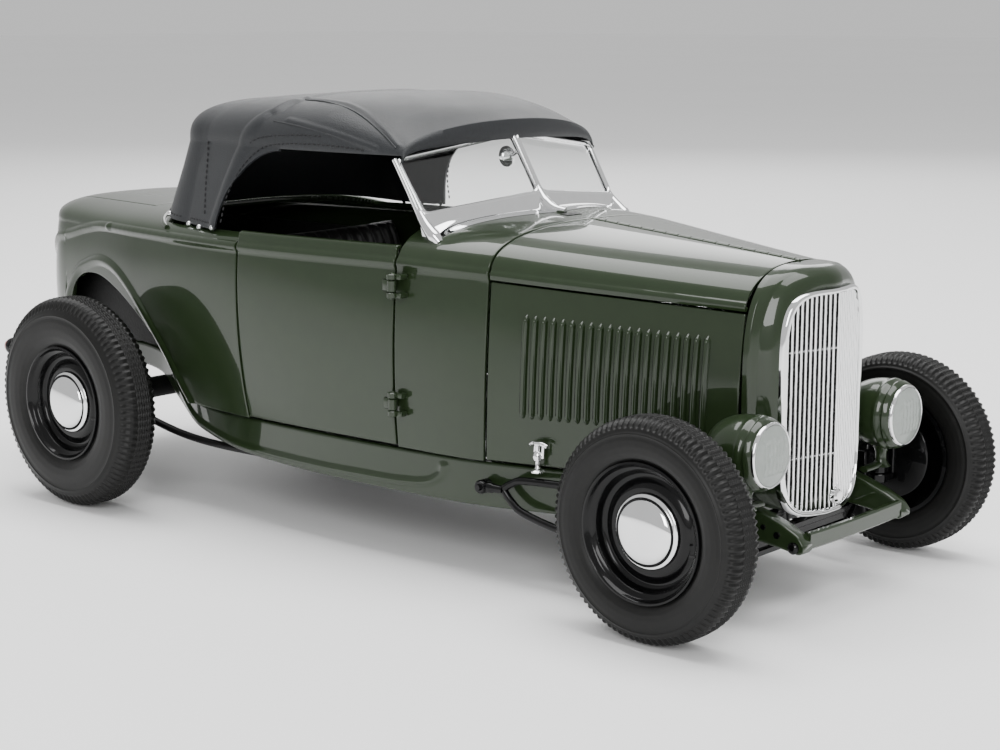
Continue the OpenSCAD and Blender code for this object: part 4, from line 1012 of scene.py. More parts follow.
def out_by(points, amount=0.06):
    """Sets points of the right side out from the cloth."""
    return [(np.asarray(p) + np.array([0, -amount, amount * 0.3])).tolist() for p in points]


OPENING = [(35.2, 61.6), (35.6, 66), (36.9, 69.7), (39.1, 73.2), (42.2, 76), (46, 77.7), (54, 78.5),
           (65, 78.5), (75, 77.9)]
ROW_TWO = [(33.2, 61.6), (33.9, 66.5), (35.2, 70.6), (37.4, 74.6), (40.6, 77.7), (45, 79.4), (54, 80.2),
           (62, 80.2)]
rows_of_thread = [
    [top_side(x - 0.4, z) for x, z in OPENING], [top_side(x - 0.9, z) for x, z in ROW_TWO],
    [top_side(x, z) for x, z in ((24.3, 77.9), (25.7, 72.9), (27.0, 67.8), (28.7, 62.4))],
    [top_side(x, z) for x, z in ((22.5, 61.9), (26, 61.8), (30, 61.6), (33.5, 61.4))],
]
threads = [s for line in rows_of_thread for s in stitches(out_by(line))]
rear_line = [top_wall(a, 0.06) + [-0.06, 0, 0.02] for a in np.linspace(4, 90, 26)]
threads += stitches(rear_line)
piece("top_stitching", both(*threads), THREAD, "soft_top")
SEAMS = [[top_roof(np.float64(x), np.float64(s)) + [0, -0.02, 0.02] for x,
          s in ((45, -0.66), (55, -0.74), (66, -0.84), (76, -0.93), (82, -0.985))]]
piece("top_seam_cords", both(*[tube_part(smooth_path(out_by(line, 0.02)), 0.16, 8) for line in (SEAMS[0],
    [top_side(x, z) for x, z in ((46, 82.6), (54, 81.9), (64, 80.5), (77, 78))])]),
      CLOTH, "soft_top")
SNAP = [(0, 0.5), (0.3, 0.48), (0.52, 0.3), (0.6, 0.1), (0.6, -0.2), (0, -0.2)]
snaps = []
for x, z in ((22.6, 60.7), (27.2, 60.4), (32.2, 60.7)):
    at = top_side(x, z)
    snaps.append(lathe_part(SNAP, at, (0.1, -1, 0.1), 24))
for a in (24, 48, 72):
    at = top_wall(np.float64(a), 0.03)
    share = float(tail_share(a))
    snaps.append(lathe_part(SNAP, at, (-1, share, 0.1), 24))
piece("top_snaps", both(*snaps), CHROME, "soft_top")

# ---------- cockpit ----------

def pleated(low, high, axis, count, depth, crown, cells=(150, 60)):
    """Stuffed cushion between two corners; pleats run across it, on the crowned side along axis."""
    low, high = np.asarray(low, float), np.asarray(high, float)
    size, centre = (high - low) / 2, (high + low) / 2
    u, v = [k for k in range(3) if k != axis]
    a = np.linspace(-1, 1, cells[0])
    b = np.linspace(-1, 1, cells[1])
    uu, vv = np.meshgrid(a, b, indexing="ij")
    round_off = (np.maximum(0, 1 - np.abs(uu) ** 7) * np.maximum(0, 1 - np.abs(vv) ** 5)) ** 0.45
    channel = 1 - np.abs(np.cos(np.pi * count * (uu + 1) / 2)) ** 6
    sides = []
    for sign in (1, -1):
        grid = np.zeros(uu.shape + (3,))
        pull = 1 - 0.035 * (1 - uu**2) * np.abs(vv) ** 6
        grid[..., u] = centre[u] + size[u] * uu * (1 - 0.02 * np.abs(vv) ** 6)
        grid[..., v] = centre[v] + size[v] * vv * pull
        top = size[axis] * round_off
        if sign > 0:
            top = top * (1 + crown * (1 - vv**2) * (1 - uu**4)) - depth * (1 - channel) * round_off
        grid[..., axis] = centre[axis] + sign * top
        sides.append(grid_part(grid))
    return sides


def leaned(parts, pivot, degrees):
    a = math.radians(degrees)
    turn = np.array([[math.cos(a), 0, -math.sin(a)], [0, 1, 0], [math.sin(a), 0, math.cos(a)]])
    return [((p - pivot) @ turn.T + pivot, f) for p, f in parts]


bench = pleated((38.6, -26.3, 24.3), (59.8, 26.3, 34.6), 2, 17, 0.7, 0.12)
cushion = piece("bench_cushion", leaned(bench, np.array([38, 0, 24]), 3), VINYL, "chassis",
                "seat_cushion", inside=(48, 0, 29), sharp=70)
back = pleated((27.6, -27.6, 25), (34.4, 27.6, 58.2), 0, 17, 0.7, 0.1)
backrest = piece("bench_back", leaned(back, np.array([33, 0, 25]), 13), VINYL, "chassis", "seat_back",
                 inside=(30, 0, 42), sharp=70)
welt = []
for y in (-26.2, 26.2):
    welt.append(tube_part(smooth_path([[39.5, y, 30.5], [48, y, 31], [58.2, y, 31.2]]), 0.35, 10))
piece("bench_welts", welt, THREAD, "chassis")

dash = []
for x in np.linspace(81.4, 84.6, 7):
    bow = math.sin(math.pi * (x - 81.4) / 3.2)
    a = np.radians(np.linspace(-86, 86, 61))
    upper = crown_point(83.6, np.sin(a)) * [0, 0.955, 1] - [0, 0, 1.9] + [x, 0, 0]
    lower = stack(x, np.linspace(28.2, -28.2, 41), 50 + 0.5 * (1 - bow) + 0 * np.linspace(0, 1, 41))
    dash.append(np.vstack([upper, lower]))
piece("dash_panel", [loft_part(dash)], GREEN, "chassis", "dashboard", sharp=45)
gauges, faces = [], []
for y, r in ((0, 2.1), (4.8, 1.5), (-4.8, 1.5), (8.4, 1.1), (-8.4, 1.1)):
    gauges.append(lathe_part([(r, -0.1), (r, 0.45), (r * 0.94, 0.6), (r * 0.86, 0.45), (r * 0.84, 0.1)],
                             [81.4, y, 56.6], (-1, 0, 0), 40))
    faces.append(lathe_part([(0, 0.12), (r * 0.85, 0.12)], [81.4, y, 56.6], (-1, 0, 0), 40))
piece("gauge_rims", gauges, CHROME, "chassis", thick=0.08)
piece("gauge_faces", faces, DIAL, "chassis")

WHEEL, FOOT = np.array([67, 13, 54.5]), np.array([101.4, 13, 35.4])
column = basis(FOOT - WHEEL)[0]
rim_a = np.arange(96) * 2 * np.pi / 96
_, wu, wv = basis(column)
rim_line = WHEEL + 8.2 * (np.cos(rim_a)[:, None] * wu + np.sin(rim_a)[:, None] * wv)
piece("steering_rim", [tube_part(rim_line, 0.62 + 0.05 * np.cos(rim_a * 24), 16, closed=True)], WHEEL_TRIM,
      "steering_wheel",
      "steering_wheel")
spokes = []
for k in range(3):
    for shift in (-0.32, 0.0, 0.32):
        a = math.radians(90 + 120 * k)
        out = math.cos(a) * wu + math.sin(a) * wv
        side = -math.sin(a) * wu + math.cos(a) * wv
        spokes.append(tube_part([WHEEL + out * 1.2 + side * shift - column * 0.2,
                                 WHEEL + out * 7.9 + side * shift * 1.2], 0.14, 8))
spokes.append(lathe_part([(0, -1.2), (0.9, -1.15), (1.5, -0.8), (1.65, -0.3), (1.6, 0.6), (1.0, 1.2),
                          (0.7, 1.3)], WHEEL, column, 40))
piece("steering_hub", spokes, ALLOY, "steering_wheel")
piece("column_tube", [
    lathe_part([(0.0, 1.6), (0.75, 1.6), (0.95, 1.9), (0.95, 30), (1.3, 30.4), (1.3, 31.5), (0.95, 31.9),
                (0.95, 38.9), (0, 39)],
               WHEEL, column, 32),
    lathe_part([(0, -1.0), (0.45, -1.0), (0.45, 2), (0, 2)], WHEEL, column, 24),
], BLACK_GLOSS, "chassis", "steering_column")
shift_line = smooth_path([[72, 0, 25], [70.5, 0.4, 33], [68, 1, 39.5], [67.4, 1.2, 42]])
piece("gear_lever", [tube_part(shift_line, 0.35, 12), lathe_part([(0, -0.6), (1.5, -0.6), (1.9, 0),
    (1.2, 1.0), (0.5, 1.6), (0, 1.6)],
      [72, 0, 24.6], (0, 0, 1), 32)], CHROME, "chassis")
piece("gear_knob", [lathe_part([(1.1 * math.sin(a), -1.15 * math.cos(a)) for a in np.linspace(0, np.pi,
    16)], [67.2, 1.25, 42.8],
                               (-0.2, 0.1, 1), 32)], WHEEL_TRIM, "chassis")
pedals = []
for y in (9.5, 13.5, 17.5):
    pedals.append(block_part((93.6, y - 1.2, 29), (94.4, y + 1.2, 31.6), 0.3))
    pedals.append(tube_part([[94.2, y, 30], [97.5, y, 25.5], [99, y, 24]], 0.35, 10))
piece("pedals", pedals, BLACK_SATIN, "chassis")
floor = np.array([
    stack(x, np.linspace(-1, 1, 60) * (float(side_y(x, SILL_Z)) - 2.6),
          23.3 + 0.15 * np.abs(np.sin(np.linspace(-1, 1, 60) * 24)))
    for x in np.linspace(61, 100, 40)
])
piece("floor_mat", [grid_part(floor)], TRIM, "chassis", thick=0.3, inside=(80, 0, 10))

# ---------- wheels ----------

LUGS = 96


def tyre_part(r, w, x, face):
    t = np.array([0, 0.1, 0.2, 0.35, 0.5, 0.58, 0.62, 0.64, 0.66, 0.7, 0.8, 0.88, 0.94, 0.98, 1.0])
    inset = np.array([0.9, 0.42, 0.15, 0.0, 0.03, 0.12, 0.1, 0.02, 0.08, 0.34, 0.66, 1.05, 1.55, 2.15,
                      3.0]) * w / 9.1
    s = np.linspace(0, len(t) - 1, 64)
    radius = 12.2 + np.interp(s, np.arange(len(t)), t) * (r - 12.2)
    axial = np.interp(s, np.arange(len(t)), inset)
    crown = np.linspace(3.0 * w / 9.1, w - 3.0 * w / 9.1, 42)[1:-1]
    axial = np.concatenate([axial, crown, (w - axial)[::-1]])
    radius = np.concatenate([radius, np.full(len(crown), r), radius[::-1]])
    da, dr = np.gradient(axial), np.gradient(radius)
    size = np.hypot(da, dr)
    na, nr = -dr / size, da / size
    a = np.arange(LUGS * 6) * 2 * np.pi / (LUGS * 6)
    share = (radius - 12.2) / (r - 12.2)
    near_edge = np.minimum(axial, w - axial) / w
    shoulder = np.clip((share - 0.76) / 0.05, 0, 1) * np.clip((0.335 - near_edge) / 0.02, 0, 1)
    wave = np.clip(0.5 + 1.6 * np.sin(LUGS * a), 0, 1)[:, None]
    depth = 0.34 * shoulder[None] * (1 - wave)
    zig = 0.17 * (2 / np.pi) * np.arcsin(np.sin(LUGS * a / 1.0))[:, None]
    for k in range(6):
        c = mix(0.345 * w, 0.655 * w, k / 5)
        depth = np.maximum(depth, 0.32 * np.clip(1 - (np.abs(axial[None] - c - zig) / (0.024 * w)) ** 2, 0,
                                                 1) * (share > 0.97)[None])
    rr = radius[None] - depth * np.abs(nr)[None]
    ax = axial[None] + depth * np.where(axial < w / 2, 1, -1)[None] * np.abs(na)[None]
    grid = stack(x + rr * np.cos(a)[:, None], -face + ax, (FRONT_R if x else REAR_R) + rr * np.sin(a)[:,
        None])
    grid = np.concatenate([grid, grid[:1]])
    return grid_part(grid, wrap=True)


def rim_profile(w, bore):
    return [(12.15, w - 0.7), (12.25, 0.75), (12.1, 0.4), (11.75, 0.35), (11.5, 0.6), (11.35, 1.15),
            (11.0, 1.45), (10.5, 1.65),
            (10.25, 2.1), (10.1, 3.0), (9.85, 3.55), (9.3, 3.8), (8.9, 3.75), (8.5, 3.4), (7.9, 2.95),
            (7.2, 2.75), (6.7, 2.85),
            (bore, 2.95), (bore, 3.7), (7.0, 3.8), (8.6, 4.4), (9.4, 4.7), (10.3, 5.0), (10.7, w - 1.6),
            (11.4, w - 0.6), (12.15, w - 0.7)]


def cap_profile():
    dome = [(5.75 * math.cos(a), 2.0 - 1.75 * math.sin(a)) for a in np.linspace(0.0, np.pi / 2, 24)]
    return [(5.2, 2.9), (6.35, 2.85), (6.52, 2.65), (6.45, 2.42), (6.2, 2.3), (5.95, 2.28),
            (5.85, 2.15)] + dome


for end, x, r, w, face in (("front", WHEELBASE, FRONT_R, FRONT_W, FRONT_FACE),
                           ("rear", 0, REAR_R, REAR_W, REAR_FACE)):
    for tag, flip in (("right", lambda p: p), ("left", mirrored)):
        body = f"wheel_front_{tag}" if end == "front" else "rear_wheels"
        at = [x, -face, r]
        piece(f"tread_tyre_{end}_{tag}", [flip(tyre_part(r, w, x, face))], RUBBER, body,
              f"tyre_{end}_{tag}", sharp=60)
        piece(f"steel_rim_{end}_{tag}", [flip(lathe_part(rim_profile(w, 1.6), at, (0, 1, 0), 128))],
              BLACK_GLOSS, body,
              f"rim_{end}_{tag}", sharp=50)
        stem = tube_part([[x + 10.7, -face + 1.4, r - 2.1], [x + 9.9, -face + 0.9, r - 2.0]], 0.28, 10)
        piece(f"valve_{end}_{tag}", [flip(stem)], BLACK_SATIN, body)
        node = f"hubcap_front_{tag}" if end == "front" else ("hubcaps_rear" if tag == "right" else ())
        piece(f"wheel_cap_{end}_{tag}", [flip(lathe_part(cap_profile(), at, (0, 1, 0), 96))], CHROME, body,
              node, sharp=60)

# ---------- frame and running gear ----------

RAIL_X = [-45, -34, -26, -15, 0, 9, 20, 45, 94, 120, 140, 152, 160, 165]
RAIL_Y = [19.5, 19.8, 20.3, 21, 22.5, 25, 28.2, 32.3, 31.3, 25.7, 20.4, 18.4, 18, 18]
RAIL_LOW = [17, 19.2, 23.4, 26, 25.4, 20.8, 16.2, 14, 13.4, 13.6, 14.1, 14, 13.2, 12.3]
RAIL_HIGH = [20.5, 22.1, 28.2, 30.8, 30.4, 27, 22, 22, 22, 22, 21.8, 20, 17.6, 15.2]


def rail_grid():
    out = []
    for x in np.concatenate([np.linspace(-45, 160, 300), np.linspace(160.4, 164.6, 18)]):
        y, low, high = (float(curve(RAIL_X, v, x)) for v in (RAIL_Y, RAIL_LOW, RAIL_HIGH))
        if x > 163:
            end = math.sqrt(max(0.02, 1 - ((x - 163) / 1.75) ** 2))
            low, high = mix((low + high) / 2, low, end), mix((low + high) / 2, high, end)
        c = min(0.5, (high - low) / 4)
        z = np.linspace(low + c, high - c, 22)
        outer = stack(x, -y, z)
        a = np.radians(np.linspace(0, 90, 4))[1:]
        top_out = stack(x, -y + c - c * np.cos(a), high - c + c * np.sin(a))
        inner_y = -y + 3
        top_in = stack(x, inner_y - c + c * np.sin(a), high - c + c * np.cos(a))
        inner = stack(x, inner_y, z[::-3])
        low_in = stack(x, inner_y - c + c * np.cos(a), low + c - c * np.sin(a))
        low_out = stack(x, -y + c - c * np.sin(a), low + c - c * np.cos(a))
        out.append(np.vstack([outer, top_out, top_in, inner, low_in, low_out]))
    return np.array(out)


def on_rail(x, z):
    return [x, -float(curve(RAIL_X, RAIL_Y, x)), z]


SWOOSH = [on_rail(x, z) for x, z in ((7, 25.8), (11, 22.6), (15.5, 19.4), (21, 17.4), (30, 16.1),
                                     (42, 15.5), (58, 15.3), (72, 15.4),
                                     (84, 15.7), (90, 16.5), (93, 18.3), (93.6, 20))]
for tag, flip in (("right", lambda p: p), ("left", mirrored)):
    ring = rail_grid()
    piece("chassis_rail_" + tag, [flip(loft_part(ring))], GREEN, "chassis", "frame_rail_" + tag,
          beads=[(SWOOSH, 0.95, 0.5)], sharp=50)
    bolts = [
        lathe_part([(0, 0), (0.95, 0), (1.05, 0.15), (1.05, 0.5), (0.8, 0.8), (0.35, 0.95), (0, 0.95)],
                   [162.8, -17.9, 13.9], (0, -1, 0), 32),
        lathe_part([(0, 0), (0.62, 0), (0.62, 0.35), (0, 0.35)], [159.4, -18.0, 15.6], (0, -1, 0), 6),
        lathe_part([(0, 0), (0.5, 0), (0.5, 0.3), (0, 0.3)], [156.6, -18.05, 16.6], (0, -1, 0), 6),
    ]
    piece("horn_bolts_" + tag, [flip(p) for p in bolts], BLACK_GLOSS, "chassis")
bar = []
for y in np.linspace(-15.2, 15.2, 25):
    drop = 0.25 * (1 - (y / 15.2) ** 2)
    ring = [[163.1 + dx, y, 14.75 - drop + dz] for dx, dz in (
        (0, -1.2), (0.25, -1.5), (1.0, -1.5), (1.3, -1.2), (1.3, 1.2), (1.0, 1.5), (0.25, 1.5), (0, 1.2))]
    bar.append(ring)
piece("spreader_front", [loft_part(bar)] + both(lathe_part([(0, 0), (0.75, 0), (0.75, 3), (0, 3)],
    [162.8, -15.2, 13.95], (0, -1, 0), 24)),
      GREEN, "chassis", "front_spreader_bar", sharp=40)
piece("spreader_rear", [tube_part(smooth_path([[-43.6, -16.4, 19], [-44, -8, 19], [-44, 8, 19],
                                               [-43.6, 16.4, 19]]), 1.05, 24)],
      GREEN, "chassis", "rear_spreader_bar")


def beam_section(y, x, z, tall, deep, web):
    h, d = tall / 2, deep / 2
    return [[x + dx, y, z + dz] for dx, dz in (
        (-d, -h), (d, -h), (d, -h + 0.9), (d - web, -h + 1.3), (d - web, h - 1.3), (d, h - 0.9), (d, h),
        (-d, h), (-d, h - 0.9),
        (-d + web, h - 1.3), (-d + web, -h + 1.3), (-d, -h + 0.9))]


beam = []
for y in np.concatenate([np.linspace(-31.2, -29, 4), np.linspace(-28.4, -19, 22), np.linspace(-18, 18, 25),
                         np.linspace(19, 28.4, 22),
                         np.linspace(29, 31.2, 4)]):
    rise = np.clip((abs(y) - 19.2) / 8.6, 0, 1)
    rise = rise * rise * (3 - 2 * rise)
    beam.append(beam_section(y, WHEELBASE, mix(10.4, 19.3, rise), 3.7, 2.3, 0.6))
axle = [loft_part(beam)]
for y in (-31.5, 31.5):
    axle.append(lathe_part([(0, -2.8), (1.9, -2.8), (2.15, -2.6), (2.15, 2.6), (1.9, 2.8), (0, 2.8)],
                           [WHEELBASE, y, 19.3], (0, 0, 1), 40))
    axle.append(lathe_part([(0, -4.9), (0.75, -4.9), (0.88, -4.7), (0.88, 4.7), (0.75, 4.95), (0, 5)],
                           [WHEELBASE, y, 19.4], (0, 0, 1), 24))
for y in (-26, 26):
    axle.append(block_part((WHEELBASE - 1.2, y - 1, 8.6), (WHEELBASE + 1.2, y + 1, 21.8), 0.4))
    axle.append(lathe_part([(0, -1.6), (0.6, -1.6), (0.6, 1.6), (0, 1.6)], [WHEELBASE, y, 20.6], (1, 0, 0),
                           6))
piece("drop_axle", axle, BLACK_GLOSS, "chassis", "front_axle", sharp=40)
leaves = []
for k in range(5):
    half = 19.6 - 3.6 * k
    ys = np.linspace(-half, half, 31)
    z = 13.15 + 0.5 * k + 0.55 * (1 - (ys / 19.6) ** 2)
    ring = [np.array([[WHEELBASE - 1.55, y, zz], [WHEELBASE + 1.55, y, zz], [WHEELBASE + 1.6, y, zz + 0.22],
                      [WHEELBASE + 1.55, y, zz + 0.44],
                      [WHEELBASE - 1.55, y, zz + 0.44], [WHEELBASE - 1.6, y, zz + 0.22]]) for y,
                      zz in zip(ys, z)]
    leaves.append(loft_part(ring))
for y in (-20.3, 20.3):
    leaves.append(lathe_part([(0, -1.8), (0.7, -1.8), (0.7, 1.8), (0, 1.8)], [WHEELBASE, y, 13.4],
                             (1, 0, 0), 20))
    s = 1 if y > 0 else -1
    for dx in (-1.6, 1.3):
        leaves.append(tube_part([[WHEELBASE + dx, y, 13.4], [WHEELBASE + dx, y + 2.2 * s, 14.9]], 0.5, 12,
                                flat=0.5))
for y in (-3, 3):
    leaves.append(tube_part(smooth_path([[WHEELBASE - 2, y, 16.6], [WHEELBASE - 2, y, 13.2],
                                         [WHEELBASE + 2, y, 13.2], [WHEELBASE + 2, y, 16.6]], 0.4), 0.3,
                                         10))
piece("leaf_spring_front", leaves, BLACK_SATIN, "chassis", "front_spring", sharp=40)

rods = []
rods.append(tube_part(smooth_path([[108.6, -31.2, 18.1], [110.5, -31, 19.3], [113.5, -30.7, 20.1],
                                   [126, -29, 20.4], [147.6, -26, 20.6]]), 0.72, 16))
rods.append(tube_part(smooth_path([[108.6, -31.2, 17.6], [110.2, -31, 15.8], [112.8, -30.8, 14.1],
                                   [120, -29.9, 12.2], [130, -28.6, 10.9],
                                   [147.6, -26, 9.6]]), 0.72, 16))
rods.append(lathe_part([(0, 0), (0.85, 0), (1.0, 0.3), (1.0, 1.9), (0.75, 2.3), (0.75, 4.4), (0, 4.4)],
                       [104.2, -31.7, 17.85], (1, 0.05, 0), 24))
rods.append(lathe_part([(0, -1.4), (1.05, -1.4), (1.3, -1.1), (1.3, 1.1), (1.05, 1.4), (0, 1.4)],
                       [104.0, -31.6, 17.85], (0, 1, 0), 28))
rods.append(lathe_part([(0, 0), (0.62, 0), (0.62, 0.5), (0, 0.5)], [104.0, -33.0, 17.85], (0, -1, 0), 6))
piece("radius_rods_front", both(*rods), BLACK_GLOSS, "chassis", "hairpin_rods", sharp=45)

for tag, flip in (("right", lambda p: p), ("left", mirrored)):
    s = [
        lathe_part([(0.9, -0.9), (2.0, -0.9), (2.2, -0.7), (2.2, 0.7), (2.0, 0.9), (0.9, 0.9)],
                   [WHEELBASE, -31.5, 15.5], (0, 0, 1), 32),
        lathe_part([(0.9, -0.9), (2.0, -0.9), (2.2, -0.7), (2.2, 0.7), (2.0, 0.9), (0.9, 0.9)],
                   [WHEELBASE, -31.5, 23.3], (0, 0, 1), 32),
        block_part((WHEELBASE - 2, -35.4, 14.7), (WHEELBASE + 2, -31.9, 16.3), 0.35),
        block_part((WHEELBASE - 2, -35.4, 22.5), (WHEELBASE + 2, -31.9, 24.1), 0.35),
        block_part((WHEELBASE - 2, -35.4, 14.7), (WHEELBASE + 2, -34.1, 24.1), 0.35),
        lathe_part([(0, 0), (8.2, 0), (8.6, 0.25), (8.6, 0.8), (8.0, 0.95), (7.2, 0.7), (4.2, 0.7),
                    (3.6, 1.4), (2.4, 1.6), (1.5, 2.2),
                    (1.5, 6.3), (0, 6.3)], [WHEELBASE, -35.3, FRONT_R], (0, -1, 0), 72),
        tube_part(smooth_path([[WHEELBASE, -32.4, 14.6], [WHEELBASE - 4, -32.0, 14.2],
                               [WHEELBASE - 9.6, -31.5, 14.2]], 0.5), 0.75, 14),
        lathe_part([(0, -0.8), (1.2, -0.8), (1.3, -0.6), (1.3, 0.6), (1.2, 0.8), (0, 0.8)],
                   [WHEELBASE - 9.6, -31.5, 14.3], (0, 0, 1), 24),
        lathe_part([(0, -1.6), (0.45, -1.6), (0.5, -1.4), (0.5, 1.2), (0, 1.2)],
                   [WHEELBASE - 9.6, -31.5, 12.9], (0, 0, 1), 16),
    ]
    for k in range(8):
        a = 2 * math.pi * k / 8
        s.append(lathe_part([(0, 0), (0.35, 0), (0.35, 0.4), (0, 0.4)],
                            [WHEELBASE + 5.9 * math.cos(a), -36.0, FRONT_R + 5.9 * math.sin(a)], (0, -1, 0),
                            6))
    piece("knuckle_" + tag, [flip(p) for p in s], BLACK_GLOSS, "spindle_" + tag, "spindle_" + tag, sharp=40)
tie = [lathe_part([(0, -30.2), (0.5, -30.2), (0.6, -29.6), (0.6, 29.6), (0.5, 30.2), (0, 30.2)],
                  [WHEELBASE - 9.6, 0, 12.5], (0, 1, 0), 20)]
for y, bore in ((-31.5, 0.56), (31.5, 0.65)):
    tie.append(lathe_part([(bore, -0.7), (1.1, -0.7), (1.3, -0.5), (1.3, 0.5), (1.1, 0.7), (bore, 0.7),
                           (bore, -0.7)],
                          [WHEELBASE - 9.6, y, 12.5], (0, 0, 1), 28))
    for end in (28.6, 27.6):
        tie.append(lathe_part([(0.6, 0), (0.95, 0), (0.95, 0.6), (0.6, 0.6)],
                              [WHEELBASE - 9.6, end * (1 if y > 0 else -1), 12.5], (0, 1, 0), 6))
piece("tie_rod_bar", tie, BLACK_GLOSS, "tie_rod", "tie_rod", sharp=40)

rear = [
    lathe_part([(1.5, -38), (2.3, -38), (2.3, -9), (3.0, -7.4), (5.4, -4.2), (6.1, -1.4), (6.1, 1.4),
                (5.4, 4.2), (3.0, 7.4), (2.3, 9), (2.3, 38),
                (1.5, 38)], [0, 0, REAR_R], (0, 1, 0), 64),
    lathe_part([(0, 4.5), (2.6, 4.8), (2.0, 7.5), (1.4, 9), (1.3, 35), (0, 35)], [0, 0, REAR_R - 0.5],
               (1, 0, -0.105), 32),
]
for k in range(10):
    a = 2 * math.pi * k / 10
    rear.append(lathe_part([(0, 0), (0.4, 0), (0.4, 0.5), (0, 0.5)],
                           [5.0 * math.cos(a), 4.4, REAR_R + 5.0 * math.sin(a)], (0, 1, 0), 6))
side_parts = [
    lathe_part([(0, 0), (8.1, 0), (8.55, 0.25), (8.55, 1.2), (8.1, 1.55), (6.6, 1.3), (3.4, 1.3),
                (2.6, 2.6), (2.2, 3.4)], [0, -39, REAR_R],
               (0, 1, 0), 72),
    tube_part(smooth_path([[1, -32, REAR_R - 2.5], [9, -31, 16.6], [22, -28.4, 13.8], [45, -24, 12.5]]),
              0.8, 16),
    lathe_part([(0, -1), (1.2, -1), (1.2, 1), (0, 1)], [45.2, -24, 12.6], (0, 1, 0), 24),
]
rear += both(*side_parts)
piece("rear_axle_assembly", rear, BLACK_SATIN, "chassis", "rear_axle_housing", sharp=40)
lamps, glassy = [], []
lamps.append(lathe_part([(1.95, 0.35), (2.05, 0.0), (2.0, -0.8), (1.7, -2.2), (1.15, -3.4), (0.5, -4.0),
                         (0, -4.1)], [-45.2, -29.5, 27], (-1, 0, 0), 40))
lamps.append(tube_part(smooth_path([[-43.2, -29.5, 26.6], [-43, -26, 26.4], [-42.4, -22, 26],
                                    [-40.5, -18.5, 25.4], [-37.5, -15.5, 25]]), 0.55, 12))
glassy.append(lathe_part([(1.9, 0.2), (1.8, 0.8), (1.45, 1.5), (0.9, 2.0), (0, 2.3)], [-45.2, -29.5, 27],
                         (-1, 0, 0), 40))
piece("tail_lamp_shells", both(*lamps), BLACK_GLOSS, "chassis", "tail_lights", sharp=50)
piece("tail_lamp_lenses", both(*glassy), TAIL_RED, "chassis", sharp=70)

# ---------- engine ----------

block = [block_part((114, -5.6, 24), (141, 5.6, 37), 0.8), block_part((116, -4.2, 18.6), (138, 4.2, 24.4),
    1.2)]
for y in (-10.6, 5.0):
    block.append(block_part((115, y, 31), (140, y + 5.6, 37.5), 0.8))
for x in np.linspace(117, 137, 4):
    block += both(lathe_part([(0, 0), (1.2, 0), (1.3, 0.4), (0, 0.5)], [x, -10.6, 34], (0, -1, 0), 24))
block.append(lathe_part([(0, 0), (4, 0), (4.4, 1), (4.6, 3), (6, 8), (6, 10), (0, 10)], [104.3, 0, 28],
                        (1, 0, 0), 48))
for z, r in ((30, 3), (36.5, 1.6)):
    block.append(lathe_part([(0, 0), (r, 0), (r * 0.8, 0.6), (r, 1.2), (r, 1.6), (r * 0.8, 2.2), (0.6, 2.4),
                             (0, 2.4)], [141, 0, z], (1, 0, 0), 40))
piece("flathead_block", block, ENGINE, "chassis", "engine_block", sharp=40)
fan = [lathe_part([(0, 0), (1.6, 0), (1.5, 0.9), (0, 1)], [143.4, 0, 34], (1, 0, 0), 24)]
for k in range(4):
    a = math.pi / 2 * k + 0.5
    u = np.array([0, math.cos(a), math.sin(a)])
    v = np.array([0, -math.sin(a), math.cos(a)])
    blade = [np.array([143.7, 0, 34]) + u * d + v * wv2 + np.array([0.35 * wv2, 0, 0]) + n * np.array([0.12,
        0, 0])
             for d, wv2, n in ((1, -0.9, 1), (7.8, -1.5, 1), (7.8, 1.5, 1), (1, 0.9, 1))]
    under = [p - [0.24, 0, 0] for p in blade]
    fan.append(loft_part([blade, under]))
piece("engine_fan", fan, STEEL, "chassis")
heads = []
for y in (-11.2, 2.6):
    heads.append(block_part((115.2, y, 37.6), (139.8, y + 8.6, 39.8), 0.5))
    for x in np.linspace(116.4, 138.2, 12):
        heads.append(block_part((x, y + 0.9, 39.5), (x + 0.6, y + 7.7, 40.8), 0.2))
    for x in np.linspace(117.8, 137.2, 6):
        for dy in (0.8, 7.8):
            heads.append(lathe_part([(0, 0), (0.45, 0), (0.45, 0.7), (0, 0.7)], [x, y + dy, 39.7],
                                    (0, 0, 1), 6))
piece("finned_heads", heads, ALLOY, "chassis", "cylinder_heads", sharp=40)
carb = [block_part((119.6, -2.3, 37.1), (134.4, 2.3, 41.4), 0.7)]
for x in (123, 131):
    carb.append(lathe_part([(1.6, 0), (1.2, 0.6), (1.2, 2.6), (1.7, 3.2), (1.7, 5.0), (1.3, 6.2)],
                           [x, 0, 41.2], (0, 0, 1), 32))
    fins = [(0, 6.0)]
    for k in range(8):
        fins += [(3.2, 6.1 + 0.42 * k), (2.8, 6.3 + 0.42 * k)]
    fins += [(3.2, 9.6), (2.2, 10.2), (0.5, 10.3), (0, 10.3)]
    carb.append(lathe_part(fins, [x, 0, 41.2], (0, 0, 1), 48))
piece("carburettors", carb, CHROME, "chassis", "air_cleaner", sharp=40)
pipes = []
for x in (118, 127, 136):
    pipes.append(tube_part(smooth_path([[x, -10.8, 33.5], [x, -12.8, 33.2], [x - 1.2, -14, 31.6],
                                        [x - 3, -14, 30.6]], 0.4), 1.0, 16))
main = smooth_path([[137, -14, 30.4], [124, -14, 30.4], [112, -14, 30.4], [109, -14, 28.6],
                    [107.4, -14, 22], [104.6, -14, 19.7],
                    [97.5, -14, 19.2], [60, -14, 19.4], [21, -14, 19.6]], 0.8)
pipes.append(tube_part(main, 1.25, 24))
pipes.append(lathe_part([(1.2, 0), (2.2, 1.2), (2.4, 2), (2.4, 16), (2.2, 16.8), (1.2, 18)],
                        [52, -14, 19.45], (1, 0, 0), 40))
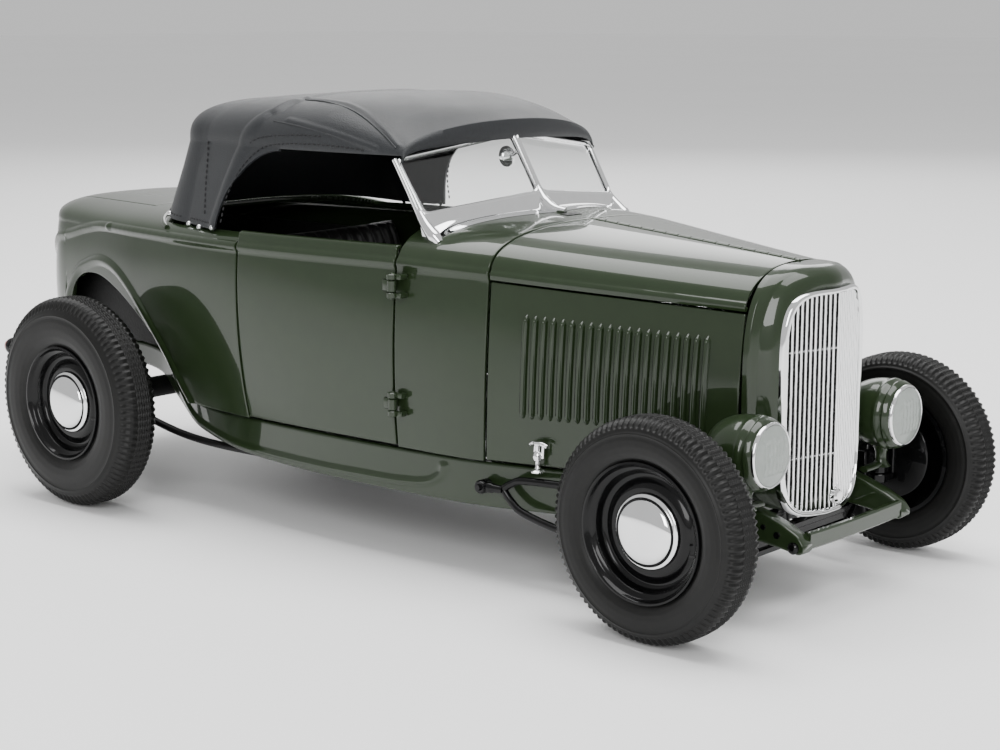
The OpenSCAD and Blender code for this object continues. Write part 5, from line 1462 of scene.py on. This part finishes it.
piece("headers_and_pipes", both(*pipes), STEEL, "chassis", "exhaust_pipes", sharp=45)

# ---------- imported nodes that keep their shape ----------

for name, finish in (
    ("crossmember_front", GREEN), ("crossmember_middle", BLACK_SATIN), ("interior_tub", TRIM),
    ("firewall", GREEN),
    ("rear_axle_shaft", AXLE_STEEL),
):
    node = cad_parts[name]
    node.data.materials.clear()
    node.data.materials.append(finish[0])

# ---------- floor, light and camera ----------

floor_mesh = bpy.data.meshes.new("floor")
FLOOR_SIZE = 6.0
bm = bmesh.new()
bmesh.ops.create_grid(bm, x_segments=4, y_segments=4, size=FLOOR_SIZE)
bm.to_mesh(floor_mesh)
bm.free()
floor_obj = bpy.data.objects.new("floor", floor_mesh)
bpy.context.scene.collection.objects.link(floor_obj)
floor_obj.location.z = -0.0002
floor_mesh.materials.append(node_material("pale_floor", None, (0.97, 0.97, 0.97), 0.7, spread=0.01,
                                          grain=3)[0])

world = bpy.data.worlds.new("studio")
bpy.context.scene.world = world
world.use_nodes = True
world.node_tree.nodes["Background"].inputs["Color"].default_value = (1, 1, 1, 1)
world.node_tree.nodes["Background"].inputs["Strength"].default_value = 0.7


def softbox(name, at, target, width, height, watts):
    light = bpy.data.lights.new(name, "AREA")
    light.shape, light.size, light.size_y, light.energy = "RECTANGLE", width, height, watts
    obj = bpy.data.objects.new(name, light)
    bpy.context.scene.collection.objects.link(obj)
    obj.location = at
    obj.rotation_euler = (Vector(target) - Vector(at)).to_track_quat("-Z", "Y").to_euler()


softbox("overhead", (0.0, 0.05, 0.75), (0, 0, 0), 0.9, 0.5, 9)
softbox("front_side", (0.55, -0.75, 0.45), (0, 0, 0.04), 0.35, 0.5, 5)
softbox("far_side", (-0.5, 0.7, 0.5), (0, 0, 0.04), 0.6, 0.4, 2.5)

SENSOR_WIDTH, LENS_LENGTH = 36, 71.19
CAMERA_AT, CAMERA_AIM = (340.727, -296.697, 104.794), (54.123, 29.697, 24.031)
camera_data = bpy.data.cameras.new("camera")
camera = bpy.data.objects.new("camera", camera_data)
bpy.context.scene.collection.objects.link(camera)
camera_data.sensor_width, camera_data.lens = SENSOR_WIDTH, LENS_LENGTH
camera_data.clip_start = 0.01
camera_at = Vector(CAMERA_AT) * MM + Vector((AXLE_X, 0, 0))
aim = Vector(CAMERA_AIM) * MM + Vector((AXLE_X, 0, 0))
camera.location = camera_at
camera.rotation_euler = (aim - camera_at).to_track_quat("-Z", "Y").to_euler()
bpy.context.scene.camera = camera
